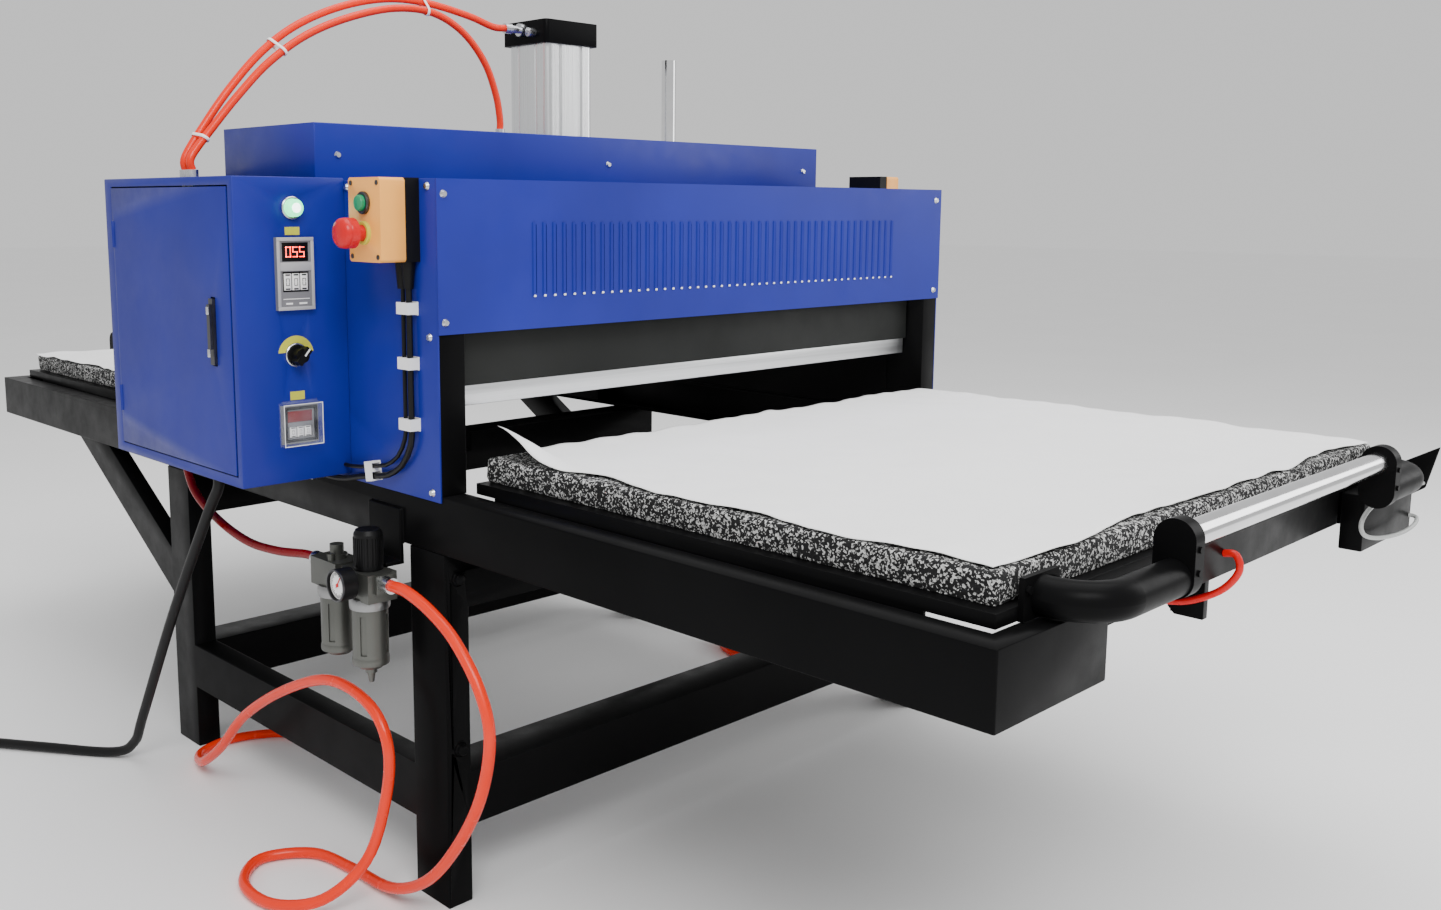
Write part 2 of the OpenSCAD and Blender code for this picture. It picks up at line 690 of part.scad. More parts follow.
// One table, drawn for the front; the rear one is the same piece turned round
module deck() {
  x1 = 525;
  y0 = table_y - pad_d / 2;
  y1 = table_y + pad_d / 2;
  color(black) {
    difference() {
      box([-x1, y0 - 10, deck_z], [x1, y1, pad_z]);
      box([-x1 + 4, y0 - 6, deck_z - 1], [x1 - 4, y1 - 4, pad_z - 4]);
    }
    // Side plates and the blocks that slide in the rails
    for (s = [-1, 1]) {
      box([s < 0 ? -x1 : x1 - 6, y0 + 70, 517], [s < 0 ? -x1 + 6 : x1, y1 - 40, deck_z]);
      for (y = [y0 + 110, y1 - 200])
        box([s < 0 ? -562 : x1, y, 517], [s < 0 ? -x1 : 562, y + 120, 583]);
    }
    for (y = [y0 + 240, y1 - 260]) difference() {
      box([-x1 + 6, y, 551], [x1 - 6, y + 30, pad_z - 4]);
      box([-x1 + 5, y + 4, 550], [x1 - 5, y + 26, pad_z - 8]);
    }
    box([-360, y0 - 8, 545], [360, y0 - 2, pad_z - 2]);
    difference() {
      box([-10, y0 + 15, 482], [2, y0 + 60, pad_z - 2]);
      translate([-12, y0 + 60, 482]) rotate([45, 0, 0]) cube([20, 12, 12], center = true);
    }
  }
}
module pad() {
  color([0.15, 0.15, 0.15]) translate([0, table_y, pad_z]) plate_round([pad_l, pad_d], 6, pad_t);
}
module cloth_sheet() {
  color("white") translate([0, table_y, sheet_z])
    linear_extrude(2) square([pad_l + 4, pad_d + 4], center = true);
}
module elbow(from, turn, r) {
  rotate([0, 0, from]) rotate_extrude(angle = turn) translate([r, 0]) circle(d = arm_d);
}
module arms() {
  y0 = table_y - pad_d / 2 - 10;
  color(black) for (s = [-1, 1]) {
    rod_y([s * 455, y0 - 16, 612], arm_d, 16);
    translate([s * 405, y0 - 16, 612]) elbow(s < 0 ? 180 : 270, 90, 50);
    rod_x([s < 0 ? -405 : 302, y0 - 66, 612], arm_d, 103);
    // Clamp that lifts the grip above the tube
    translate([s < 0 ? -grip_l / 2 - 12 : grip_l / 2 - 8, y0 - 66, 0]) rotate([0, 90, 0])
      linear_extrude(20) union() {
        for (z = [612, arm_z]) translate([-z, 0]) circle(22);
        translate([-(612 + arm_z) / 2, 0]) square([arm_z - 612, 44], center = true);
      }
    // Foot plate that bolts the arm to the deck's front edge
    box([s * 455 - 32, y0 - 6, deck_z], [s * 455 + 32, y0, 634]);
    for (x = [-26, 26]) rod_y([s * 455 + x, y0 - 10, 622], 8, 6);
    for (a = [0, 1]) rod_y([s * (grip_l / 2 + 2), y0 - 66 - 24, 619 + 24 * a], 7, 6);
  }
}
module grip() {
  y1 = table_y - pad_d / 2 - 76;
  color("silver") rod_x([-grip_l / 2 + 8.1, y1, arm_z], grip_d, grip_l - 16.2);
}
module turned() {
  rotate([0, 0, 180]) children();
}

// Routes of the free hoses and cords, as points in the machine's own frame
supply_route = [
  [-620, -381.1, 467], [-620, -415, 467], [-615, -462, 450], [-612, -512, 421],
  [-610, -561, 368], [-610, -582, 307], [-610, -559, 219], [-610, -502, 130],
  [-612, -435, 60], [-614, -350, 18], [-616, -250, 9.8], [-634, -168, 9.8],
  [-700, -130, 9.8], [-752, -180, 9.8], [-752, -262, 11], [-712, -332, 30], [-660, -362, 80],
  [-634, -372, 160], [-630, -377, 238], [-630, -333, 288], [-630, -226, 296],
  [-630, -91, 244], [-630, 45, 164], [-628, 140, 80], [-620, 230, 24], [-590, 300, 9.8],
  [-520, 320, 9.8], [-440, 280, 9.8], [-380, 180, 9.8], [-340, 60, 9.8], [-325, -30, 9.8],
  [-270, -96, 9.8], [-150, -109, 9.8], [300, -109, 9.8], [520, -108, 9.8], [592, -104, 9.8]
];
link_route = [
  [-620, -178.9, 467], [-620, -150, 467], [-634, -90, 463], [-645, -20, 466],
  [-652, 60, 486], [-659, 122, 520], [-660, 149, 558], [-660, 150, 570], [-660, 150, 578.9]
];
arch_a = [
  [-700, 18, 1027.1], [-700, 18, 1046], [-670, 17, 1092], [-628, 16, 1148], [-574, 16, 1206],
  [-512, 16, 1252], [-432, 16, 1288], [-349, 16, 1308], [-272, 16, 1309], [-191, 15, 1297],
  [-140, 15, 1284], [-114.1, 15, 1284]
];
arch_b = [
  [-700, -2, 1027.1], [-700, -2, 1046], [-664, 0, 1090], [-620, 1, 1140], [-570, 1, 1190],
  [-505, 1, 1236], [-428, 1, 1270], [-345, 1, 1292], [-272, 1, 1292], [-212, 1, 1266],
  [-168, 1, 1220], [-145, 1, 1168], [-137, 1, 1128], [-137, 1, 1110.1]
];
power_route = [
  [-670, 20, 570.9], [-670, 20, 548], [-674, 56, 496], [-682, 180, 310], [-682, 320, 100],
  [-682, 366, 36], [-704, 408, 11], [-780, 510, 10.6], [-868, 640, 10.6], [-890, 760, 10.6]
];
table_route = [
  [-18, -1243.1, 572], [-18, -1258, 572], [-18, -1262, 552], [-18, -1240, 524],
  [-18, -1195, 502], [-18, -1150, 502], [-18, -1114, 530], [-18, -1104, 572],
  [-18, -1104, 601.9]
];
sensor_route = [
  [569.9, -1288, 580], [548, -1288, 582], [500, -1289, 585], [440, -1290, 585],
  [380, -1290, 584], [330, -1290, 576], [308, -1290, 562], [322, -1290, 545],
  [370, -1290, 532], [440, -1290, 523], [500, -1290, 520], [540, -1290, 524],
  [558, -1287, 529], [562, -1281, 531], [562, -1275.1, 531]
];
module supply_hose() {
  color("orangered") hose(supply_route, 16, [0.62, 0.05, 0.78], 2);
}
module supply_coil() {
  color("orangered") translate([600, 0, 0.6]) rotate_extrude() translate([96, 16.5]) square(33, center = true);
}
module supply_connector() {
  color("silver") {
    rod_x([545, 104, 25], 20, 40);
    rod_x([525, 104, 25], 11, 20);
  }
}
module link_hose() {
  color("darkred") hose(link_route, 13, [0.9, 0.3, 0.1], 2);
}
module arch_hose_a() {
  color("orangered") hose(arch_a, 12, [0, 1, 0.05], 2);
}
module arch_hose_b() {
  color("orangered") hose(arch_b, 12, [0.1, 1, 0.05], 2);
}
module power_cable() {
  color(black) hose(power_route, 17, [1, 0.2, 0.1], 2);
}
module power_coil() {
  color(black) translate([-1000, 760, 0.6]) rotate_extrude() translate([102, 17.5]) square(35, center = true);
}
module power_plug() {
  color(black) {
    rod_x([-1056, 871, 27], 34, 50);
    for (y = [-9.5, 9.5]) rod_x([-1075, 871 + y, 27], 4.8, 19);
  }
}
module table_hose() {
  color("red") hose(table_route, 9, [1, 0, 0.01], 1);
}
module sensor_cable() {
  color("gray") hose(sensor_route, 6, [0, 1, 0.03], 2);
}

module place() {
  translate([shift_x, 0, 0]) children();
}

place() lower_frame();
place() rails();
place() upper_frame();
place() side_panels();
place() louvre_panels();
place() top_cover();
place() upper_housing();
place() fasteners();
place() control_box();
place() control_gear();
place() control_door();
place() door_latch();
place() pilot_lamp();
place() control_labels();
place() control_meters();
place() selector_knob();
place() timer_cover();
place() on_left() pendant_base();  // pendant_left_base
place() on_left() pendant_lid();  // pendant_left_lid
place() on_left() start_button();  // start_button_left
place() on_left() stop_button();  // stop_button_left
place() on_right() pendant_base();  // pendant_right_base
place() on_right() pendant_lid();  // pendant_right_lid
place() on_right() start_button();  // start_button_right
place() on_right() stop_button();  // stop_button_right
place() cable_clips();
place() clipped_cables();
place() cylinder_body();
place() cylinder_caps();
place() air_fittings();
place() air_unit_body();
place() air_unit_bowls();
place() regulator_knob();
place() gauge_body();
place() gauge_needle();
place() platen();
place() insulation();
place() heat_shield();
place() press_rods();
place() deck();  // front_deck
place() pad();  // front_pad
place() cloth_sheet();  // front_sheet
place() arms();  // front_arms
place() grip();  // front_grip
place() turned() deck();  // rear_deck
place() turned() pad();  // rear_pad
place() turned() cloth_sheet();  // rear_sheet
place() turned() arms();  // rear_arms
place() turned() grip();  // rear_grip
place() supply_hose();
place() supply_coil();
place() supply_connector();
place() link_hose();
place() arch_hose_a();
place() arch_hose_b();
place() power_cable();
place() power_coil();
place() power_plug();
place() table_hose();
place() sensor_cable();
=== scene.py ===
import math
import json
import bpy
import bmesh
from mathutils import Matrix, Vector, noise


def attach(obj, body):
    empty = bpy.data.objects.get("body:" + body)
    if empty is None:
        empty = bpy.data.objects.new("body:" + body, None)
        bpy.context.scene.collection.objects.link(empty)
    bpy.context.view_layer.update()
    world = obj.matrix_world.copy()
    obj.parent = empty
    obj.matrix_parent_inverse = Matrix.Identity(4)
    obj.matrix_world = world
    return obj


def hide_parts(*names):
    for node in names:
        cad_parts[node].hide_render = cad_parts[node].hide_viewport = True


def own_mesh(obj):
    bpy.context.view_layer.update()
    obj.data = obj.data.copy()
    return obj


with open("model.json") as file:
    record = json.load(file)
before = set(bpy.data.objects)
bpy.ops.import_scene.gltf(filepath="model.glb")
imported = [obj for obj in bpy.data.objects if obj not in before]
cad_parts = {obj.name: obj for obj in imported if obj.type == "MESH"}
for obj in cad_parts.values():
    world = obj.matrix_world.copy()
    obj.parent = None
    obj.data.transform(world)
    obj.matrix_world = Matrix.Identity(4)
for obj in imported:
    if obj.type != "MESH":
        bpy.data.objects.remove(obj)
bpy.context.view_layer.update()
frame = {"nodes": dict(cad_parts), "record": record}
nodes = frame["nodes"]
mm = 0.001
shiftX = 42  # the machine's own middle lies this far right of the row's origin


def at(x, y, z):  # a point in the machine's own millimetres, as metres in the row
    return Vector(((x + shiftX) * mm, y * mm, z * mm))


print("camera")
view = {"place": (-1567, -1869, 975), "turn": 0.7703, "tilt": -0.1423, "roll": 0.0052, "lens": 32.93,
        "sensor": 36, "shiftX": 0.0441, "shiftY": -0.0402, "nearest": 0.02, "farthest": 60}


def makeCamera():
    turn, tilt, roll = view["turn"], view["tilt"], view["roll"]
    ahead = Vector((math.cos(tilt) * math.sin(turn), math.cos(tilt) * math.cos(turn), math.sin(tilt)))
    right = Vector((math.cos(turn), -math.sin(turn), 0))
    up = right.cross(ahead)
    side = math.cos(roll) * right + math.sin(roll) * up
    top = -math.sin(roll) * right + math.cos(roll) * up
    data = bpy.data.cameras.new("camera")
    data.lens, data.sensor_width = view["lens"], view["sensor"]
    data.shift_x, data.shift_y = view["shiftX"], view["shiftY"]
    data.clip_start, data.clip_end = view["nearest"], view["farthest"]
    camera = bpy.data.objects.new("camera", data)
    bpy.context.scene.collection.objects.link(camera)
    facing = Matrix((side, top, -ahead)).transposed().to_4x4()
    camera.matrix_world = Matrix.Translation(at(*view["place"])) @ facing
    bpy.context.scene.camera = camera


makeCamera()


class Term:  # a socket that can stand in a sum
    def __init__(self, paint, socket):
        self.paint, self.socket = paint, socket

    def math(self, operation, a, b):
        return self.paint.node("ShaderNodeMath", {"operation": operation}, {0: a, 1: b})

    def __add__(self, other): return self.math("ADD", self, other)
    def __radd__(self, other): return self.math("ADD", other, self)
    def __mul__(self, other): return self.math("MULTIPLY", self, other)
    def __rmul__(self, other): return self.math("MULTIPLY", other, self)
    def __gt__(self, other): return self.math("GREATER_THAN", self, other)
    def __lt__(self, other): return self.math("LESS_THAN", self, other)


usual = {"low": 0.3, "high": 0.7}  # most of a noise lies between these two


class Paint:  # one material and the nodes that make it
    def __init__(self, name, **constants):
        self.material = bpy.data.materials.new(name)
        self.material.use_nodes = True
        self.tree = self.material.node_tree
        self.shader = self.tree.nodes["Principled BSDF"]
        for socket, value in constants.items():
            self.shader.inputs[socket.replace("_", " ")].default_value = value

    def node(self, kind, settings=None, sockets=None, out=0):
        made = self.tree.nodes.new(kind)
        for key, value in (settings or {}).items():
            setattr(made, key, value)
        for key, value in (sockets or {}).items():
            if isinstance(value, Term):
                self.tree.links.new(value.socket, made.inputs[key])
            else:
                made.inputs[key].default_value = value
        return Term(self, made.outputs[out])

    def place(self):
        return self.node("ShaderNodeTexCoord", out="Object")

    def stretched(self, x, y, z):
        return self.node("ShaderNodeMapping", {}, {"Vector": self.place(), "Scale": (x, y, z)})

    def noise(self, scale, detail, rough=0.5, where=None):
        return self.node("ShaderNodeTexNoise", {}, {"Vector": where or self.place(), "Scale": scale,
                                                    "Detail": detail, "Roughness": rough})

    def cells(self, scale, where, out="Distance", feature="F1"):
        return self.node("ShaderNodeTexVoronoi", {"feature": feature}, {"Vector": where, "Scale": scale}, out)

    def pick(self, scale, where):  # one number for each cell
        return self.node("ShaderNodeSeparateColor", {}, {"Color": self.cells(scale, where, "Color")})

    def span(self, value, low, high, toLow=0.0, toHigh=1.0):
        return self.node("ShaderNodeMapRange", {}, {"Value": value, "From Min": low, "From Max": high,
                                                    "To Min": toLow, "To Max": toHigh})

    def spread(self, value, toLow=0.0, toHigh=1.0):
        return self.span(value, usual["low"], usual["high"], toLow, toHigh)

    def mix(self, factor, a, b):  # sockets 6 and 7 take the colours
        return self.node("ShaderNodeMix", {"data_type": "RGBA"}, {0: factor, 6: (*a, 1), 7: (*b, 1)}, 2)

    def into(self, socket, value):
        self.tree.links.new(value.socket, self.shader.inputs[socket])

    def bump(self, height, distance):
        self.into("Normal", self.node("ShaderNodeBump", {}, {"Height": height, "Distance": distance,
                                                             "Strength": 1.0}))
        return self


def shaded(colour, share):
    return [c * share for c in colour]


coatLook = {"drift": (3.5, 3), "driftLow": 0.35, "driftHigh": 0.65, "rub": (22, 6, 0.6), "sleeker": 0.05,
            "rougher": 0.08, "peelDetail": 2}


def coat(name, colour, dark, rough, peel, metal=0.0, peelScale=700, **more):
    p = Paint(name, Metallic=metal, **more)
    drift = p.span(p.noise(*coatLook["drift"]), coatLook["driftLow"], coatLook["driftHigh"])
    p.into("Base Color", p.mix(drift, dark, colour))
    rub = p.noise(*coatLook["rub"])
    p.into("Roughness", p.spread(rub, rough - coatLook["sleeker"], rough + coatLook["rougher"]))
    return p.bump(p.noise(peelScale, coatLook["peelDetail"]), peel)


brushedLook = {"grain": (1, 4, 0.6), "shade": 0.82, "sleeker": 0.06, "rougher": 0.08, "depth": 0.00004}


def brushed(name, colour, rough, along):  # along holds the grain's scale on each axis
    p = Paint(name, Metallic=1.0)
    grain = p.noise(*brushedLook["grain"], p.stretched(*along))
    p.into("Base Color", p.mix(p.spread(grain), shaded(colour, brushedLook["shade"]), colour))
    p.into("Roughness", p.spread(grain, rough - brushedLook["sleeker"], rough + brushedLook["rougher"]))
    return p.bump(grain, brushedLook["depth"])


plasticLook = {"tone": (30, 4), "shade": 0.94, "wear": (60, 5), "sleeker": 0.03, "rougher": 0.04, "grainDetail": 2}


def plastic(name, colour, rough, grain=0.00005, scale=900, **more):
    p = Paint(name, **more)
    tone, wear = p.noise(*plasticLook["tone"]), p.noise(*plasticLook["wear"])
    p.into("Base Color", p.mix(p.spread(tone), shaded(colour, plasticLook["shade"]), colour))
    p.into("Roughness", p.spread(wear, rough - plasticLook["sleeker"], rough + plasticLook["rougher"]))
    return p.bump(p.noise(scale, plasticLook["grainDetail"]), grain)


glowLook = {"rough": 0.3, "tone": (200, 2), "shade": 0.8, "glowShade": 0.85}


def glowing(name, colour, strength):
    p = Paint(name, Roughness=glowLook["rough"], Emission_Strength=strength)
    tone = p.spread(p.noise(*glowLook["tone"]))
    p.into("Base Color", p.mix(tone, shaded(colour, glowLook["shade"]), colour))
    p.into("Emission Color", p.mix(tone, shaded(colour, glowLook["glowShade"]), colour))
    return p


foamLook = {"rough": 0.95, "warpScale": 60.0, "warp": (0.006, 0.006, 0.006), "crumb": 290, "fine": 600,
            "palePick": 0.71, "gap": 0.03, "patch": (260, 3), "patchCut": 0.47, "finePick": 0.86,
            "fineShare": 0.75, "black": (0.004, 0.004, 0.0045), "pale": (0.55, 0.55, 0.54),
            "grain": (300, 4), "crumbShare": 0.8, "depth": 0.0016}


def rebond():  # crumbs of black foam glued together, with pale ones among them
    look = foamLook
    p = Paint("rebondFoam", Roughness=look["rough"])
    warp = p.node("ShaderNodeTexNoise", {}, {"Vector": p.place(), "Scale": look["warpScale"]}, "Color")
    bent = p.node("ShaderNodeVectorMath", {"operation": "MULTIPLY_ADD"}, {0: warp, 1: look["warp"], 2: p.place()})
    edge = p.cells(look["crumb"], bent, "Distance", "DISTANCE_TO_EDGE")
    pale = (p.pick(look["crumb"], bent) > look["palePick"]) * (edge > look["gap"])
    small = p.pick(look["fine"], bent) > look["finePick"]
    large = pale * (p.noise(*look["patch"]) > look["patchCut"])
    both = p.node("ShaderNodeMath", {"operation": "MAXIMUM"}, {0: large, 1: small * look["fineShare"]})
    p.into("Base Color", p.mix(both, look["black"], look["pale"]))
    return p.bump(p.noise(*look["grain"]) + p.cells(look["crumb"], bent) * look["crumbShare"], look["depth"])


clothLook = {"rough": 0.85, "sheen": 0.15, "threads": 300.0, "uneven": 0.4, "soil": (4.5, 5, 0.6),
             "soilLow": 0.42, "soilHigh": 0.75, "clean": (1.0, 1.0, 1.0), "soiled": (0.96, 0.96, 0.955),
             "depth": 0.00012}


def weave():
    look = clothLook
    p = Paint("sheetWeave", Roughness=look["rough"], Sheen_Weight=look["sheen"])
    warp, weft = [p.node("ShaderNodeTexWave", {"wave_type": "BANDS", "bands_direction": way},
                         {"Vector": p.place(), "Scale": look["threads"], "Distortion": look["uneven"]})
                  for way in ("X", "Y")]
    soil = p.span(p.noise(*look["soil"]), look["soilLow"], look["soilHigh"])
    p.into("Base Color", p.mix(soil, look["clean"], look["soiled"]))
    return p.bump(warp * weft, look["depth"])


clearLook = {"ior": 1.45, "tone": (40, 2), "shade": 0.94, "haze": (35, 3), "thinner": 0.03, "thicker": 0.04}


def clear(name, colour, rough, alpha):
    p = Paint(name, Roughness=rough, IOR=clearLook["ior"])
    tone, haze = p.noise(*clearLook["tone"]), p.noise(*clearLook["haze"])
    p.into("Base Color", p.mix(p.spread(tone), shaded(colour, clearLook["shade"]), colour))
    p.into("Alpha", p.spread(haze, alpha - clearLook["thinner"], alpha + clearLook["thicker"]))
    return p


print("materials")
paints = {
    "frameBlack": coat("frameBlack", (0.0045, 0.0045, 0.0047), (0.0028, 0.0028, 0.0030), 0.34, 0.00005, IOR=1.12),
    "panelBlue": coat("panelBlue", (0.013, 0.021, 0.27), (0.010, 0.016, 0.215), 0.36, 0.00005, IOR=1.33),
    "steelBright": brushed("steelBright", (0.66, 0.67, 0.69), 0.26, (90, 90, 90)),
    "steelDark": brushed("steelDark", (0.10, 0.10, 0.105), 0.38, (60, 60, 60)),
    "chrome": brushed("chrome", (0.82, 0.82, 0.83), 0.10, (8, 8, 8)),
    "platenAlloy": brushed("platenAlloy", (0.80, 0.81, 0.82), 0.34, (3, 3, 420)),
    "barrelAlloy": brushed("barrelAlloy", (0.80, 0.81, 0.82), 0.24, (420, 420, 3)),
    "castZinc": coat("castZinc", (0.13, 0.132, 0.12), (0.07, 0.072, 0.065), 0.36, 0.0002, 0.7, 420),
    "castBright": coat("castBright", (0.34, 0.34, 0.34), (0.20, 0.20, 0.20), 0.3, 0.0002, 0.9, 420),
    "shieldGrey": coat("shieldGrey", (0.020, 0.021, 0.020), (0.011, 0.012, 0.011), 0.5, 0.00008, IOR=1.25),
    "woolBoard": plastic("woolBoard", (0.42, 0.39, 0.34), 0.95, 0.0006, 300),
    "plasticBlack": plastic("plasticBlack", (0.005, 0.005, 0.0053), 0.42, IOR=1.25),
    "plasticGrey": plastic("plasticGrey", (0.19, 0.19, 0.20), 0.5),
    "plasticSilver": plastic("plasticSilver", (0.42, 0.42, 0.43), 0.4),
    "plasticAmber": plastic("plasticAmber", (1.0, 0.43, 0.075), 0.34),
    "plasticWhite": plastic("plasticWhite", (0.95, 0.95, 0.93), 0.4),
    "plasticRed": plastic("plasticRed", (0.62, 0.006, 0.010), 0.26, IOR=1.35),
    "plasticGreen": plastic("plasticGreen", (0.008, 0.30, 0.12), 0.3),
    "lampGreen": glowing("lampGreen", (0.12, 1.0, 0.42), 2.6),
    "digitRed": glowing("digitRed", (1.0, 0.05, 0.03), 6.0),
    "lampCore": glowing("lampCore", (0.85, 1.0, 0.92), 5.0),
    "labelYellow": plastic("labelYellow", (0.62, 0.60, 0.05), 0.5),
    "coverClear": clear("coverClear", (0.86, 0.90, 0.93), 0.04, 0.05),
    "hoseOrange": plastic("hoseOrange", (0.86, 0.028, 0.003), 0.24, 0.00001, IOR=1.35),
    "hoseRed": plastic("hoseRed", (0.20, 0.002, 0.004), 0.28, 0.00001, IOR=1.35),
    "hoseScarlet": plastic("hoseScarlet", (0.75, 0.006, 0.006), 0.28, 0.00001, IOR=1.35),
    "cableBlack": plastic("cableBlack", (0.005, 0.005, 0.0052), 0.42, 0.00006, IOR=1.3),
    "cableGrey": plastic("cableGrey", (0.40, 0.41, 0.40), 0.4, 0.00004),
    "rebondFoam": rebond(),
    "sheetWeave": weave(),
}
slotPaint = {
    "frame_black": "frameBlack", "panel_blue": "panelBlue", "bright_steel": "steelBright",
    "bolt_dark": "steelDark", "chrome": "chrome", "alloy": "platenAlloy", "cast_alloy": "castZinc",
    "shield_dark": "shieldGrey", "insulation_wool": "woolBoard", "black_plastic": "plasticBlack",
    "grey_plastic": "plasticGrey", "yellow_plastic": "plasticAmber", "white_plastic": "plasticWhite",
    "red_plastic": "plasticRed", "green_plastic": "plasticGreen", "green_lens": "lampGreen",
    "label_print": "labelYellow", "clear_cover": "coverClear", "hose_orange": "hoseOrange",
    "hose_red": "hoseRed", "cable_black": "cableBlack", "cable_grey": "cableGrey",
    "foam_black": "rebondFoam", "sheet_white": "sheetWeave", "needle_red": "plasticRed",
}
paintSlot = {paint: slot for slot, paint in slotPaint.items()}
paintSlot.update({"digitRed": "red_plastic", "plasticSilver": "grey_plastic", "barrelAlloy": "alloy",
                  "lampCore": "green_lens", "castBright": "cast_alloy", "hoseScarlet": "hose_red"})


rounding = {"smooth": 0.6, "weld": 0.00002, "segments": 2, "sharperThan": 40}


def smoothByAngle(o):
    for face in o.data.polygons:
        face.use_smooth = True
    bpy.context.view_layer.objects.active = o
    o.select_set(True)
    bpy.ops.object.shade_smooth_by_angle(angle=rounding["smooth"])
    o.select_set(False)


def soften(o, width):  # merges the export's split corners, then rounds the edges
    joined = o.modifiers.new("weld", "WELD")
    joined.merge_threshold = rounding["weld"]
    edge = o.modifiers.new("edge", "BEVEL")
    edge.width, edge.segments, edge.limit_method = width, rounding["segments"], "ANGLE"
    edge.angle_limit = math.radians(rounding["sharperThan"])
    edge.harden_normals = False


softEdges = {"lower_frame": 2.2, "rails": 2.2, "upper_frame": 2.0, "side_panels": 0.7, "top_cover": 0.6,
             "upper_housing": 1.4, "control_box": 1.4, "control_door": 0.6, "platen": 0.8, "heat_shield": 0.9,
             "pendant_left_lid": 1.6, "pendant_right_lid": 1.6, "front_deck": 0.9, "rear_deck": 0.9,
             "cylinder_caps": 0.9}  # in mm


def dress():  # the CAD nodes get their finishes, and some of them soft edges
    for part in frame["record"]["subparts"]:
        name = part["node"]
        o = nodes[name]
        paint = "barrelAlloy" if name == "cylinder_body" else slotPaint[part["material_slot"]]
        o.data.materials.clear()
        o.data.materials.append(paints[paint].material)
        if name in softEdges:
            soften(o, softEdges[name] * mm)


dress()


def finish(o, paint, body="machine", smooth=True):
    o.data.materials.append(paints[paint].material)
    bpy.context.scene.collection.objects.link(o)
    if smooth and o.type == "MESH":
        smoothByAngle(o)
    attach(o, body)
    return o


def fromMesh(name, bm, paint, body="machine", smooth=True):
    bmesh.ops.recalc_face_normals(bm, faces=bm.faces)
    data = bpy.data.meshes.new(name)
    bm.to_mesh(data)
    bm.free()
    return finish(bpy.data.objects.new(name, data), paint, body, smooth)


def addBlock(bm, low, high, radius=0.0, segments=2):  # a block between two points, with round edges
    low, high = Vector(low), Vector(high)
    made = bmesh.ops.create_cube(bm, size=1.0)
    for v in made["verts"]:
        v.co = Vector([(c + 0.5) * (b - a) + a for c, a, b in zip(v.co, low, high)])
    if radius:
        edges = list({e for v in made["verts"] for e in v.link_edges})
        bmesh.ops.bevel(bm, geom=edges, offset=radius, segments=segments, affect="EDGES", profile=0.5)


def addBoxAt(bm, low, high, radius=0.0, segments=2):
    addBlock(bm, at(*low), at(*high), radius, segments)


def addPlates(bm, x, y, front, back, plates, radius=0.0):  # each plate is left, low, right and high
    for left, low, right, high in plates:
        addBoxAt(bm, (x + left, y - front, low), (x + right, y - back, high), radius)


def addTurned(bm, centre, axis, angle, size, offset):  # a block spun about an axis through the centre
    spin = Matrix.Rotation(angle, 4, axis)
    for v in bmesh.ops.create_cube(bm, size=1.0)["verts"]:
        v.co = centre + spin @ Vector([(c * s + o) * mm for c, s, o in zip(v.co, size, offset)])


lathe = {"steps": 40, "Z": Matrix(), "X": Matrix.Rotation(math.radians(90), 4, "Y"),
         "-X": Matrix.Rotation(math.radians(-90), 4, "Y"), "-Y": Matrix.Rotation(math.radians(90), 4, "X")}


def addLathe(bm, profile, place, axis, steps):  # profile holds (radius, height) pairs in mm
    move = Matrix.Translation(place) @ lathe[axis]
    rings = []
    for radius, height in profile:
        angles = [2 * math.pi * k / steps for k in range(steps)] if radius else [0]
        points = [Vector((radius * mm * math.cos(t), radius * mm * math.sin(t), height * mm)) for t in angles]
        rings.append([bm.verts.new(move @ point) for point in points])
    for a, b in zip(rings, rings[1:]):
        for k in range(steps):
            n = (k + 1) % steps
            bm.faces.new((a[k], a[n], b[0]) if len(b) == 1 else (a[k], a[n], b[n], b[k]))


def disc(name, profile, place, axis, paint, body="machine"):
    bm = bmesh.new()
    addLathe(bm, profile, at(*place), axis, lathe["steps"])
    fromMesh(name, bm, paint, body)


def ease(t):
    return t * t * (3 - 2 * t)


